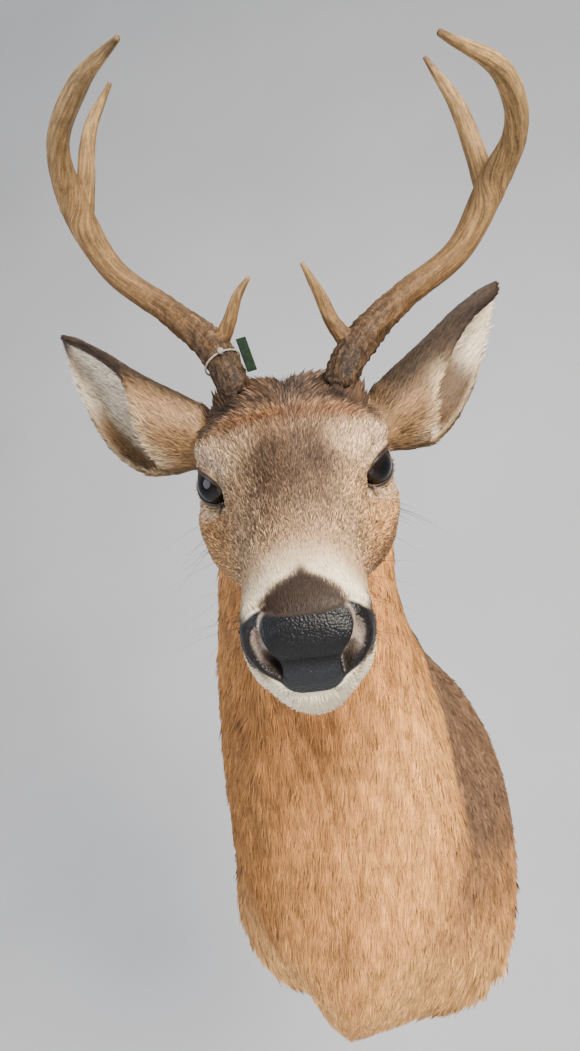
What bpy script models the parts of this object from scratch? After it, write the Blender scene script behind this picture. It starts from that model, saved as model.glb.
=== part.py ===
"""Shoulder mount of a white-tailed deer: three points a side, head turned to its left.

Metres, +Z up. The origin is the middle of the backboard's rear face, which lies
on the wall plane Y = 0. The deer looks towards -Y, so +X is the deer's own left.
Every solid reaches out to the tips of the coat. Head shapes are drawn in the
head's own frame: x runs from midway between the eyes to the nose, y to the
deer's left and z up through the forehead.
"""

from math import cos, pi, radians, sin

import bmesh
import bpy
import numpy as np
from mathutils import Matrix, Vector

# ---------------------------------------------------------------- driving sizes
GAP = 0.0003            # clearance left between neighbouring pieces

# The head's place and pose on the neck
HEAD_PLACE = Vector((-0.0005, -0.3515, 0.3081))
HEAD_TURN = radians(18.75)      # to the deer's left
HEAD_NOD = radians(33.9)        # nose below the level
HEAD_TILT = radians(10.3)       # left side raised

# Trunk and neck: the back line and breast line in the (y, z) plane, section by section.
# back y, back z, breast y, breast z, centre x, half width, widest place from the back
# (0 to 1), squareness above, squareness below (2 is an ellipse)
TRUNK_SECTIONS = (
    (0.000, 0.175, 0.000, -0.235, 0.007, 0.1650, 0.60, 2.0, 2.4),
    (-0.035, 0.191, -0.052, -0.234, 0.007, 0.1470, 0.60, 1.9, 1.9),
    (-0.070, 0.214, -0.099, -0.224, 0.009, 0.1310, 0.60, 1.7, 1.45),
    (-0.100, 0.240, -0.145, -0.188, 0.007, 0.1210, 0.60, 1.6, 1.5),
    (-0.128, 0.267, -0.176, -0.134, 0.001, 0.1130, 0.60, 1.5, 1.8),
    (-0.155, 0.293, -0.189, -0.072, -0.006, 0.1070, 0.62, 1.45, 1.9),
    (-0.181, 0.318, -0.200, -0.008, -0.012, 0.1010, 0.63, 1.4, 2.0),
    (-0.206, 0.340, -0.213, 0.055, -0.017, 0.0940, 0.63, 1.45, 2.0),
    (-0.230, 0.359, -0.232, 0.116, -0.019, 0.0860, 0.62, 1.6, 2.0),
    (-0.253, 0.374, -0.253, 0.170, -0.018, 0.0800, 0.58, 1.8, 2.0),
    (-0.274, 0.382, -0.273, 0.212, -0.016, 0.0740, 0.54, 2.0, 2.0),
    (-0.292, 0.376, -0.288, 0.242, -0.012, 0.0600, 0.50, 2.0, 2.0),
)
TRUNK_RINGS = 21
TRUNK_SIDES = 28

# Head: x, top z, bottom z, half width, z of the widest place, squareness above and below
HEAD_SECTIONS = (
    (-0.105, 0.030, -0.062, 0.050, -0.014, 2.0, 2.0),
    (-0.088, 0.050, -0.080, 0.062, -0.016, 2.1, 2.1),
    (-0.062, 0.062, -0.094, 0.071, -0.018, 2.3, 2.2),
    (-0.032, 0.064, -0.098, 0.077, -0.018, 2.6, 2.3),
    (-0.004, 0.053, -0.094, 0.0765, -0.018, 2.9, 2.3),
    (0.024, 0.043, -0.084, 0.0710, -0.026, 2.4, 2.3),
    (0.054, 0.036, -0.070, 0.0590, -0.026, 2.2, 2.2),
    (0.085, 0.032, -0.060, 0.0470, -0.020, 2.2, 2.2),
    (0.115, 0.029, -0.057, 0.0405, -0.016, 2.3, 2.2),
    (0.145, 0.026, -0.060, 0.0385, -0.014, 2.4, 2.1),
    (0.168, 0.023, -0.067, 0.0375, -0.012, 2.5, 1.9),
    (0.182, 0.019, -0.064, 0.0355, -0.011, 2.5, 1.8),
    (0.190, 0.013, -0.050, 0.0310, -0.011, 2.4, 1.8),
    (0.196, 0.002, -0.034, 0.0200, -0.011, 2.2, 1.9),
    (0.198, -0.006, -0.020, 0.0080, -0.011, 2.0, 2.0),
)
HEAD_RINGS = 32
HEAD_SIDES = 32
EYE_PLACE = (-0.001, 0.0510, 0.003)     # right eye at -y
EYE_RADIUS = 0.0172
EYE_LOOK = Vector((0.68, 0.73, 0.12))   # where the left eye's opening faces
EYE_OPENING = (0.0145, 0.0105, 0.0160)  # half length, half height and depth of the lid opening
# Relief on the side of the head: x, z, rise outwards, spread
SIDE_RELIEF = (
    (-0.012, 0.024, 0.0030, 0.011),     # brow ridge
    (0.010, 0.003, -0.0075, 0.011),     # eye socket
    (0.028, 0.000, -0.0055, 0.012),     # hollow in front of the eye
)

# Parting planes: a point on each plane and the side that faces the nose
NECK_BASE = Vector((0.0, -0.132, 0.118))
NECK_BASE_SIDE = Vector((0.0, -0.861, 0.508))
NECK_TOP = Vector((-0.015, -0.275, 0.300))
NECK_TOP_SIDE = Vector((0.15, -0.98, 0.10))
MUZZLE_ROOT = Vector((0.088, 0.0, 0.0))         # from here on in the head's frame
MUZZLE_ROOT_SIDE = Vector((1.0, 0.0, 0.10))
NOSE_ROOT = Vector((0.1830, 0.0, -0.010))
NOSE_ROOT_SIDE = Vector((1.0, 0.0, -0.08))
MOUTH = Vector((0.140, 0.0, -0.0360))
MOUTH_DOWN = Vector((-0.10, 0.0, -1.0))
NOSTRIL_PLACE = (0.1900, 0.0225, -0.010)
NOSTRIL_SIZE = (0.0100, 0.0072, 0.0130)
NOSTRIL_LEAN = radians(28.0)

# Ears: base and tip in the head's frame, and how far the opening is turned outwards
EAR_BASE = {"right": Vector((-0.062, -0.050, 0.008)), "left": Vector((-0.058, 0.054, 0.004))}
EAR_TIP = {"right": Vector((-0.143, -0.186, 0.091)), "left": Vector((-0.155, 0.191, 0.086))}
EAR_OPENING = {"right": Vector((0.62, -0.62, -0.48)), "left": Vector((0.42, 0.78, -0.46))}
# place along the ear, radius, half angle of the wall round the ear
EAR_SECTIONS = (
    (0.00, 0.0240, 172.0),
    (0.14, 0.0310, 160.0),
    (0.28, 0.0400, 132.0),
    (0.42, 0.0440, 116.0),
    (0.56, 0.0430, 108.0),
    (0.70, 0.0370, 102.0),
    (0.84, 0.0245, 98.0),
    (0.94, 0.0125, 94.0),
    (1.00, 0.0045, 90.0),
)
EAR_RINGS = 13
EAR_ARC_POINTS = 11
EAR_WALL = 0.0065
EAR_HOLLOW_FROM = 0.16         # the ear is solid below this place
EAR_HOLLOW_RUN = 0.16          # and fully hollow this much further on
EAR_BELLY = {"right": 0.0360, "left": 0.0305}      # how far the middle hangs towards the opening

# Antlers: points in the head's frame, each with the radius there
BEAM = {
    "right": (
        ((-0.040, -0.036, 0.040), 0.0130),
        ((-0.054, -0.040, 0.063), 0.0128),
        ((-0.080, -0.054, 0.085), 0.0130),
        ((-0.103, -0.084, 0.109), 0.0107),
        ((-0.115, -0.124, 0.145), 0.0100),
        ((-0.113, -0.140, 0.190), 0.0113),
        ((-0.089, -0.137, 0.232), 0.0080),
        ((-0.048, -0.105, 0.267), 0.0064),
        ((-0.001, -0.067, 0.285), 0.0018),
    ),
    "left": (
        ((-0.034, 0.040, 0.040), 0.0130),
        ((-0.045, 0.046, 0.062), 0.0128),
        ((-0.069, 0.066, 0.079), 0.0130),
        ((-0.094, 0.100, 0.099), 0.0110),
        ((-0.107, 0.148, 0.127), 0.0104),
        ((-0.106, 0.174, 0.173), 0.0117),
        ((-0.084, 0.1825, 0.202), 0.0088),
        ((-0.044, 0.164, 0.240), 0.0069),
        ((0.001, 0.114, 0.266), 0.0020),
    ),
}
BROW_TINE = {
    "right": (
        ((-0.074, -0.050, 0.080), 0.0080),
        ((-0.077, -0.036, 0.102), 0.0054),
        ((-0.076, -0.027, 0.120), 0.0038),
        ((-0.070, -0.016, 0.134), 0.0016),
    ),
    "left": (
        ((-0.062, 0.058, 0.072), 0.0085),
        ((-0.066, 0.043, 0.093), 0.0060),
        ((-0.068, 0.034, 0.117), 0.0044),
        ((-0.064, 0.024, 0.140), 0.0016),
    ),
}
BACK_TINE = {
    "right": (
        ((-0.116, -0.139, 0.180), 0.0090),
        ((-0.120, -0.130, 0.208), 0.0070),
        ((-0.124, -0.120, 0.240), 0.0052),
        ((-0.128, -0.098, 0.270), 0.0016),
    ),
    "left": (
        ((-0.110, 0.172, 0.162), 0.0095),
        ((-0.119, 0.163, 0.194), 0.0076),
        ((-0.124, 0.152, 0.224), 0.0060),
        ((-0.127, 0.129, 0.259), 0.0016),
    ),
}
BEAM_CUTS = (2, 5)             # beam points where the brow tine and the back tine branch off
BURR_RADIUS = 0.0160           # outer radius of the rough burr above the skull
BURR_THICK = 0.0034
BURR_PLACE = 1                 # beam point that carries the burr

# Backboard inside the rear of the form
BOARD_THICK = 0.018
BOARD_SCALE = 0.84             # of the trunk's own outline on the wall
BOARD_CENTRE_Z = -0.018

# Marking strip tied beside the right antler's foot, in the head's frame
TAG_ENDS = (Vector((-0.0776, -0.0294, 0.0880)), Vector((-0.0671, -0.0234, 0.0640)))
TAG_WIDE = 0.0080
TAG_THICK = 0.0016
TAG_FACE = Vector((0.80, 0.45, 0.40))   # the way its flat side looks
THREAD_RADIUS = 0.0008
THREAD_CENTRE = Vector((-0.0652, -0.0452, 0.0737))      # on the beam, above the burr
THREAD_CLEAR = 0.0012          # between the beam and the thread
KNOT_RADIUS = 0.0026
KNOT_SIDE = Vector((0.85, 0.20, 0.45))


# ---------------------------------------------------------------- scene helpers
def clear_scene():
    """Remove every object that the scene starts with."""
    for old in list(bpy.data.objects):
        bpy.data.objects.remove(old, do_unlink=True)


def new_collection(name):
    """Make a collection in the scene."""
    group = bpy.data.collections.new(name)
    bpy.context.scene.collection.children.link(group)
    return group


def finish_material(name, colour, roughness, metallic=0.0):
    """Principled material with one colour, given as linear red, green and blue."""
    finish = bpy.data.materials.new(name)
    finish.use_nodes = True
    shader = finish.node_tree.nodes["Principled BSDF"]
    shader.inputs["Base Color"].default_value = (*colour, 1.0)
    shader.inputs["Roughness"].default_value = roughness
    shader.inputs["Metallic"].default_value = metallic
    finish.diffuse_color = (*colour, 1.0)
    return finish


def head_matrix():
    """Placement of the head's frame: columns are forward, left and up."""
    forward = Vector((sin(HEAD_TURN) * cos(HEAD_NOD), -cos(HEAD_TURN) * cos(HEAD_NOD), -sin(HEAD_NOD)))
    level = Vector((cos(HEAD_TURN), sin(HEAD_TURN), 0.0))
    rise = forward.cross(level)
    left = level * cos(HEAD_TILT) + rise * sin(HEAD_TILT)
    up = rise * cos(HEAD_TILT) - level * sin(HEAD_TILT)
    turned = Matrix((forward, left, up)).transposed().to_4x4()
    return Matrix.Translation(HEAD_PLACE) @ turned


def flow(rows, at):
    """Smooth curve through rows of values; the first column is the place along it."""
    table = np.array(rows, dtype=float)
    place, values = table[:, 0], table[:, 1:]
    slope = np.gradient(values, place, axis=0)
    at = np.atleast_1d(at)
    left = np.clip(np.searchsorted(place, at, side="right") - 1, 0, len(place) - 2)
    step = (place[left + 1] - place[left])[:, None]
    t = ((at - place[left]))[:, None] / step
    return ((2 * t**3 - 3 * t**2 + 1) * values[left]
            + (t**3 - 2 * t**2 + t) * step * slope[left]
            + (3 * t**2 - 2 * t**3) * values[left + 1]
            + (t**3 - t**2) * step * slope[left + 1])


def ring_angles(sides):
    """Angles round a section, counted from the deer's left through the top."""
    return np.arange(sides) * 2.0 * pi / sides


def soft_power(value, squareness):
    """Signed power that turns a circle's sine or cosine into a squarer oval's."""
    return np.sign(value) * np.abs(value) ** (2.0 / squareness)


def loft_mesh(name, rings):
    """Closed mesh through rings of points, each end closed by a fan to its middle."""
    count, sides, _ = rings.shape
    points = np.concatenate([rings.reshape(-1, 3), rings[:1].mean(axis=1), rings[-1:].mean(axis=1)])
    first, last = count * sides, count * sides + 1
    faces = []
    for ring in range(count - 1):
        for side in range(sides):
            across = (side + 1) % sides
            low, high = ring * sides, (ring + 1) * sides
            faces.append((low + side, low + across, high + across, high + side))
    end = (count - 1) * sides
    for side in range(sides):
        across = (side + 1) % sides
        faces.append((first, across, side))
        faces.append((last, end + side, end + across))
    mesh = bpy.data.meshes.new(name)
    mesh.from_pydata(points.tolist(), [], faces)
    work = bmesh.new()
    work.from_mesh(mesh)
    bmesh.ops.recalc_face_normals(work, faces=work.faces)
    work.to_mesh(mesh)
    work.free()
    return mesh


def add_object(name, mesh, group, placement=None, finish=None):
    """Put a mesh in the scene under a name."""
    thing = bpy.data.objects.new(name, mesh)
    group.objects.link(thing)
    if placement is not None:
        thing.matrix_world = placement
    if finish is not None:
        mesh.materials.clear()
        mesh.materials.append(finish)
    return thing


def move_to(thing, group):
    """Move an object into one collection."""
    for owner in list(thing.users_collection):
        owner.objects.unlink(thing)
    group.objects.link(thing)


def hide_as_cutter(thing):
    """Show a guide as wire and keep it out of renders."""
    thing.hide_render = True
    thing.display_type = "WIRE"
    return thing


def solid_from(thing, name, group, finish=None):
    """Freeze an object, its modifiers applied, as a new object with welded ends."""
    bpy.context.view_layer.update()
    evaluated = thing.evaluated_get(bpy.context.evaluated_depsgraph_get())
    mesh = bpy.data.meshes.new_from_object(evaluated)
    mesh.name = name
    work = bmesh.new()
    work.from_mesh(mesh)
    bmesh.ops.remove_doubles(work, verts=work.verts, dist=0.00001)
    bmesh.ops.recalc_face_normals(work, faces=work.faces)
    work.to_mesh(mesh)
    work.free()
    return add_object(name, mesh, group, thing.matrix_world.copy(), finish)


def add_boolean(thing, tool, operation, solver="EXACT"):
    """Cut, join or trim one object with another."""
    step = thing.modifiers.new(operation.lower() + "_" + tool.name, "BOOLEAN")
    step.operation = operation
    step.solver = solver
    step.object = tool
    return step


def round_shading(thing, angle=radians(40.0)):
    """Smooth shading with real edges kept sharp."""
    thing.data.shade_smooth()
    thing.data.set_sharp_from_angle(angle=angle)


# ---------------------------------------------------------------- flesh forms
def trunk_rings(grow=0.0):
    """Sections of trunk and neck, from the wall to inside the head."""
    rows = [(place, *row) for place, row in enumerate(TRUNK_SECTIONS)]
    at = np.linspace(0.0, len(rows) - 1.0, TRUNK_RINGS)
    values = flow(rows, at)[:, :, None]
    back_y, back_z, breast_y, breast_z, middle, half, widest, above, below = values.transpose(1, 0, 2)
    half = half + grow
    angle = ring_angles(TRUNK_SIDES)[None, :]
    upper = np.sin(angle) >= 0.0
    squareness = np.where(upper, above, below)
    side = soft_power(np.cos(angle), squareness) * half
    rise = soft_power(np.sin(angle), squareness)
    wide_y = back_y + widest * (breast_y - back_y)
    wide_z = back_z + widest * (breast_z - back_z)
    share = np.abs(rise)
    end_y = np.where(upper, back_y, breast_y)
    end_z = np.where(upper, back_z + grow, breast_z - grow)
    return np.stack([middle + side,
                     wide_y + share * (end_y - wide_y),
                     wide_z + share * (end_z - wide_z)], axis=-1)


def head_rings(grow=0.0):
    """Sections of the head in its own frame, from the nape to the front of the nose."""
    first, last = HEAD_SECTIONS[0][0], HEAD_SECTIONS[-1][0]
    crowd = np.linspace(0.0, 1.0, HEAD_RINGS)
    place = first + (last - first) * np.sin(crowd * pi / 2.0) ** 1.15
    values = flow(HEAD_SECTIONS, place)[:, :, None]
    top, bottom, half, wide_z, above, below = values.transpose(1, 0, 2)
    angle = ring_angles(HEAD_SIDES)[None, :]
    upper = np.sin(angle) >= 0.0
    squareness = np.where(upper, above, below)
    across = soft_power(np.cos(angle), squareness) * (half + grow)
    rise = soft_power(np.sin(angle), squareness)
    height = wide_z + rise * np.where(upper, top + grow - wide_z, wide_z - bottom + grow)
    along = np.broadcast_to(place[:, None], across.shape)
    across = across + np.sign(across) * side_relief(along, height, np.abs(across))
    return np.stack([along, across, height], axis=-1)


def side_relief(along, height, across):
    """Ridges and hollows on the side of the head, as steps outwards."""
    step = np.zeros_like(across)
    for x, z, rise, spread in SIDE_RELIEF:
        step = step + rise * np.exp(-((along - x) ** 2 + (height - z) ** 2) / (2.0 * spread**2))
    return step * np.clip((across - 0.030) / 0.020, 0.0, 1.0)


def make_flesh(guides):
    """One closed form of trunk, neck and head, and the two forms grown by the clearance."""
    placement = head_matrix()
    trunk = hide_as_cutter(add_object("trunk_form", loft_mesh("trunk_form", trunk_rings()), guides))
    head = hide_as_cutter(add_object("head_form", loft_mesh("head_form", head_rings()), guides, placement))
    grown = [
        hide_as_cutter(add_object("trunk_grown", loft_mesh("trunk_grown", trunk_rings(GAP)), guides)),
        hide_as_cutter(add_object("head_grown", loft_mesh("head_grown", head_rings(GAP)), guides, placement)),
    ]
    joined = add_object("joined_form", head.data.copy(), guides, placement)
    add_boolean(joined, trunk, "UNION")
    flesh = hide_as_cutter(solid_from(joined, "flesh_form", guides))
    bpy.data.objects.remove(joined)
    return flesh, grown


def half_space(name, point, side, guides, placement=None, shift=0.0):
    """Large block that fills the side of a plane to which the given direction points."""
    size = 1.4
    place = placement if placement is not None else Matrix.Identity(4)
    world_point = place @ point
    world_side = (place.to_3x3() @ side).normalized()
    bpy.ops.mesh.primitive_cube_add(size=size)
    block = bpy.context.object
    block.name = name
    middle = world_point + world_side * (size / 2.0 + shift)
    turn = world_side.to_track_quat("Z", "Y").to_matrix().to_4x4()
    block.matrix_world = Matrix.Translation(middle) @ turn
    move_to(block, guides)
    return hide_as_cutter(block)


def make_flesh_nodes(parts, guides, finishes, flesh):
    """Part the flesh into shoulders, neck, head, muzzle, nose pad and lower jaw."""
    placement = head_matrix()
    planes = {
        "neck_base": (NECK_BASE, NECK_BASE_SIDE, None),
        "neck_top": (NECK_TOP, NECK_TOP_SIDE, None),
        "muzzle_root": (MUZZLE_ROOT, MUZZLE_ROOT_SIDE, placement),
        "nose_root": (NOSE_ROOT, NOSE_ROOT_SIDE, placement),
        "mouth": (MOUTH, MOUTH_DOWN, placement),
    }
    blocks = {}
    for name, (point, side, place) in planes.items():
        blocks[name, "front"] = half_space(name + "_front", point, side, guides, place, GAP / 2.0)
        blocks[name, "rear"] = half_space(name + "_rear", point, -side, guides, place, GAP / 2.0)
    pieces = {
        "shoulders": ((("neck_base", "rear"),), "tan_coat"),
        "neck": ((("neck_base", "front"), ("neck_top", "rear")), "tan_coat"),
        "head": ((("neck_top", "front"), ("muzzle_root", "rear")), "grizzled_coat"),
        "muzzle": ((("muzzle_root", "front"), ("nose_root", "rear"), ("mouth", "rear")), "pale_coat"),
        "nose_pad": ((("nose_root", "front"), ("mouth", "rear")), "nose_leather"),
        "lower_jaw": ((("muzzle_root", "front"), ("mouth", "front")), "chin_coat"),
    }
    nodes = {}
    for name, (sides, finish) in pieces.items():
        nodes[name] = add_object(name, flesh.data.copy(), parts, flesh.matrix_world.copy(), finishes[finish])
        for key in sides:
            add_boolean(nodes[name], blocks[key], "INTERSECT", "MANIFOLD")
    return nodes


# ---------------------------------------------------------------- eyes and nostrils
def add_ball(name, group, placement, radius, segments=16, rings=10):
    """Round ball from the sphere primitive."""
    bpy.ops.mesh.primitive_uv_sphere_add(segments=segments, ring_count=rings, radius=radius)
    ball = bpy.context.object
    ball.name = name
    ball.data.name = name
    ball.matrix_world = placement
    move_to(ball, group)
    return ball


def make_eyes(parts, guides, finishes, head):
    """Glass eyes in sockets cut a clearance larger, each with an oval opening for the lids."""
    placement = head_matrix()
    for side, sign in (("right", -1.0), ("left", 1.0)):
        middle = Vector((EYE_PLACE[0], sign * EYE_PLACE[1], EYE_PLACE[2]))
        place = placement @ Matrix.Translation(middle)
        eye = add_ball("eye_" + side, parts, place, EYE_RADIUS)
        eye.data.materials.append(finishes["glass_eye"])
        socket = add_ball("socket_" + side, guides, place, EYE_RADIUS + GAP)
        add_boolean(head, hide_as_cutter(socket), "DIFFERENCE")
        look = Vector((EYE_LOOK.x, sign * EYE_LOOK.y, EYE_LOOK.z)).normalized()
        turn = look.to_track_quat("Z", "Y").to_matrix().to_4x4()
        lids = add_ball("lids_" + side, guides, place @ Matrix.Translation(look * EYE_RADIUS) @ turn, 1.0)
        lids.data.transform(Matrix.Diagonal((*EYE_OPENING, 1.0)))
        add_boolean(head, hide_as_cutter(lids), "DIFFERENCE")


def make_nostrils(guides, nodes):
    """Oval nostrils, leaning inwards at the bottom, sunk into the nose."""
    placement = head_matrix()
    for side, sign in (("right", -1.0), ("left", 1.0)):
        place = Matrix.Translation((NOSTRIL_PLACE[0], sign * NOSTRIL_PLACE[1], NOSTRIL_PLACE[2]))
        lean = Matrix.Rotation(-sign * NOSTRIL_LEAN, 4, "X")
        hollow = add_ball("nostril_" + side, guides, placement @ place @ lean, 1.0, 12, 8)
        hollow.data.transform(Matrix.Diagonal((*NOSTRIL_SIZE, 1.0)))
        hide_as_cutter(hollow)
        add_boolean(nodes["nose_pad"], hollow, "DIFFERENCE")
        add_boolean(nodes["muzzle"], hollow, "DIFFERENCE")


# ---------------------------------------------------------------- ears
def ear_rings(side):
    """Cupped ear: each section is an outer arc, then an inner arc back to its start.

    The wall between the arcs is EAR_WALL thick. Towards the base the inner arc
    swings over to close the outer one to a full round, so the ear is solid there.
    """
    base, tip = EAR_BASE[side], EAR_TIP[side]
    axis = (tip - base).normalized()
    opening = EAR_OPENING[side] - axis * EAR_OPENING[side].dot(axis)
    opening.normalize()
    across = axis.cross(opening)
    at = np.linspace(0.0, 1.0, EAR_RINGS)
    radius, spread = flow(EAR_SECTIONS, at).T[:, :, None]
    spread = np.radians(spread)
    share = (np.arange(EAR_ARC_POINTS) + 0.5)[None, :] / EAR_ARC_POINTS
    outer = spread * (2.0 * share - 1.0)
    inner = spread * (1.0 - 2.0 * share)
    lid = spread + (2.0 * pi - 2.0 * spread) * share
    hollow = np.clip((at[:, None] - EAR_HOLLOW_FROM) / EAR_HOLLOW_RUN, 0.0, 1.0)
    inner_radius = radius - np.minimum(EAR_WALL, radius * 0.62)
    back = [radius * np.cos(outer),
            hollow * inner_radius * np.cos(inner) + (1.0 - hollow) * radius * np.cos(lid)]
    aside = [radius * np.sin(outer),
             hollow * inner_radius * np.sin(inner) + (1.0 - hollow) * radius * np.sin(lid)]
    back = np.concatenate(back, axis=1)[..., None]
    aside = np.concatenate(aside, axis=1)[..., None]
    hang = (EAR_BELLY[side] * np.sin(pi * at))[:, None]
    middle = np.array(base) + np.outer(at, np.array(tip - base)) + hang * np.array(opening)
    return middle[:, None, :] - back * np.array(opening) + aside * np.array(across)


def make_ears(parts, finishes, grown):
    """Both ears, trimmed where they meet the head and neck."""
    for side in ("right", "left"):
        mesh = loft_mesh("ear_" + side, ear_rings(side))
        ear = add_object("ear_" + side, mesh, parts, head_matrix(), finishes["ear_coat"])
        for form in grown:
            add_boolean(ear, form, "DIFFERENCE")


# ---------------------------------------------------------------- antlers
def antler_tube(name, points, group, grow=0.0, steps=4, sides=2):
    """Tapered tube along a smooth curve, made a welded mesh."""
    curve = bpy.data.curves.new(name, "CURVE")
    curve.dimensions = "3D"
    curve.bevel_depth = 1.0
    curve.bevel_resolution = sides
    curve.use_fill_caps = True
    curve.resolution_u = steps
    spline = curve.splines.new("BEZIER")
    spline.bezier_points.add(len(points) - 1)
    for knot, (place, radius) in zip(spline.bezier_points, points):
        knot.co = place
        knot.radius = radius + grow
        knot.handle_left_type = "AUTO"
        knot.handle_right_type = "AUTO"
    route = bpy.data.objects.new(name + "_route", curve)
    group.objects.link(route)
    route.matrix_world = head_matrix()
    tube = solid_from(route, name, group)
    bpy.data.objects.remove(route)
    return tube


def make_antler(side, parts, guides, finishes, grown):
    """One antler, split at its brow tine and back tine into five pieces."""
    beam = BEAM[side]
    low, high = BEAM_CUTS
    placement = head_matrix()
    whole = hide_as_cutter(antler_tube("beam_form_" + side, beam, guides))
    fat = hide_as_cutter(antler_tube("beam_grown_" + side, beam, guides, GAP))
    cuts = {}
    for name, knot in (("low", low), ("high", high)):
        point = Vector(beam[knot][0])
        heading = (Vector(beam[knot + 1][0]) - Vector(beam[knot - 1][0])).normalized()
        for end, sign in (("front", 1.0), ("rear", -1.0)):
            cuts[name, end] = half_space(f"beam_{side}_{name}_{end}", point + heading * 0.011,
                                         heading * sign, guides, placement, GAP / 2.0)
    lengths = {
        "base": (("low", "rear"),),
        "beam": (("low", "front"), ("high", "rear")),
        "tip": (("high", "front"),),
    }
    for name, ends in lengths.items():
        node = add_object(f"antler_{side}_{name}", whole.data.copy(), parts, placement, finishes["antler"])
        if name == "base":
            add_boolean(node, make_burr(side, guides, beam), "UNION")
        for key in ends:
            add_boolean(node, cuts[key], "INTERSECT", "MANIFOLD")
        if name == "base":
            for form in grown:
                add_boolean(node, form, "DIFFERENCE", "MANIFOLD")
    for name, points in (("brow_tine", BROW_TINE[side]), ("back_tine", BACK_TINE[side])):
        tine = antler_tube(f"antler_{side}_{name}", points, parts, 0.0, 3)
        tine.data.materials.append(finishes["antler"])
        add_boolean(tine, fat, "DIFFERENCE")
    return fat


def make_burr(side, guides, beam):
    """Rough ring round the foot of the antler."""
    point = Vector(beam[BURR_PLACE][0])
    heading = Vector(beam[BURR_PLACE + 1][0]) - Vector(beam[BURR_PLACE - 1][0])
    bpy.ops.mesh.primitive_torus_add(major_radius=BURR_RADIUS - BURR_THICK, minor_radius=BURR_THICK,
                                     major_segments=16, minor_segments=6)
    burr = bpy.context.object
    burr.name = "burr_" + side
    turn = heading.to_track_quat("Z", "Y").to_matrix().to_4x4()
    burr.matrix_world = head_matrix() @ Matrix.Translation(point) @ turn
    move_to(burr, guides)
    return hide_as_cutter(burr)


# ---------------------------------------------------------------- board
def make_backboard(parts, guides, finishes, shoulders):
    """Wooden board let into the rear of the form, flush with the wall plane."""
    outline = trunk_rings()[0]
    board = None
    for name, group, grow in (("backboard", parts, 0.0), ("board_pocket", guides, GAP)):
        ring = outline.copy()
        middle = np.array([outline[:, 0].mean(), 0.0, BOARD_CENTRE_Z])
        ring = middle + (ring - middle) * (BOARD_SCALE + grow / 0.15)
        front = ring.copy()
        front[:, 1] = -(BOARD_THICK + grow)
        ring[:, 1] = grow * 4.0
        piece = add_object(name, loft_mesh(name, np.stack([ring, front])), group)
        if name == "backboard":
            board = piece
            board.data.materials.append(finishes["plywood"])
        else:
            add_boolean(shoulders, hide_as_cutter(piece), "DIFFERENCE")
    return board


# ---------------------------------------------------------------- marking strip
def make_tag(parts, guides, finishes, fat_beam):
    """Green strip beside the right antler's foot, and the knotted thread that ties it."""
    placement = head_matrix()
    top, foot = TAG_ENDS
    along = (top - foot).normalized()
    face = (TAG_FACE - along * TAG_FACE.dot(along)).normalized()
    bpy.ops.mesh.primitive_cube_add(size=1.0)
    strip = bpy.context.object
    strip.name = "tag"
    size = Matrix.Diagonal((TAG_WIDE, TAG_THICK, (top - foot).length, 1.0))
    strip.data.transform(size)
    turn = Matrix((face.cross(along), face, along)).transposed().to_4x4()
    strip.matrix_world = placement @ Matrix.Translation((top + foot) / 2.0) @ turn
    move_to(strip, parts)
    strip.data.materials.append(finishes["green_tag"])

    beam = BEAM["right"]
    heading = (Vector(beam[BURR_PLACE + 1][0]) - Vector(beam[BURR_PLACE][0])).normalized()
    wrap_radius = beam[BURR_PLACE][1] + THREAD_CLEAR + THREAD_RADIUS
    bpy.ops.mesh.primitive_torus_add(major_radius=wrap_radius, minor_radius=THREAD_RADIUS,
                                     major_segments=20, minor_segments=5)
    thread = bpy.context.object
    thread.name = "tag_thread"
    turn = heading.to_track_quat("Z", "Y").to_matrix().to_4x4()
    thread.matrix_world = placement @ Matrix.Translation(THREAD_CENTRE) @ turn
    move_to(thread, parts)
    thread.data.materials.append(finishes["white_thread"])
    outwards = (KNOT_SIDE - heading * KNOT_SIDE.dot(heading)).normalized()
    knot_place = THREAD_CENTRE + outwards * (wrap_radius + KNOT_RADIUS / 2.0)
    knot = add_ball("knot", guides, placement @ Matrix.Translation(knot_place), KNOT_RADIUS, 8, 5)
    add_boolean(thread, hide_as_cutter(knot), "UNION")
    add_boolean(thread, fat_beam, "DIFFERENCE")


# ---------------------------------------------------------------- whole mount
def main():
    """Build every piece of the mount."""
    clear_scene()
    parts = new_collection("deer_shoulder_mount")
    guides = new_collection("cutters")
    finishes = {
        "tan_coat": finish_material("tan_coat", (0.42, 0.22, 0.10), 0.9),
        "grizzled_coat": finish_material("grizzled_coat", (0.26, 0.17, 0.11), 0.9),
        "pale_coat": finish_material("pale_coat", (0.66, 0.56, 0.44), 0.9),
        "chin_coat": finish_material("chin_coat", (0.80, 0.72, 0.58), 0.9),
        "ear_coat": finish_material("ear_coat", (0.22, 0.15, 0.10), 0.9),
        "nose_leather": finish_material("nose_leather", (0.012, 0.013, 0.016), 0.35),
        "glass_eye": finish_material("glass_eye", (0.008, 0.006, 0.006), 0.05),
        "antler": finish_material("antler", (0.36, 0.22, 0.10), 0.55),
        "plywood": finish_material("plywood", (0.45, 0.30, 0.17), 0.8),
        "green_tag": finish_material("green_tag", (0.03, 0.22, 0.05), 0.6),
        "white_thread": finish_material("white_thread", (0.75, 0.72, 0.68), 0.8),
    }
    flesh, grown = make_flesh(guides)
    nodes = make_flesh_nodes(parts, guides, finishes, flesh)
    make_eyes(parts, guides, finishes, nodes["head"])
    make_nostrils(guides, nodes)
    make_ears(parts, finishes, grown)
    make_antler("left", parts, guides, finishes, grown)
    fat_beam = make_antler("right", parts, guides, finishes, grown)
    make_tag(parts, guides, finishes, fat_beam)
    make_backboard(parts, guides, finishes, nodes["shoulders"])
    for piece in parts.objects:
        round_shading(piece)


main()
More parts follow.
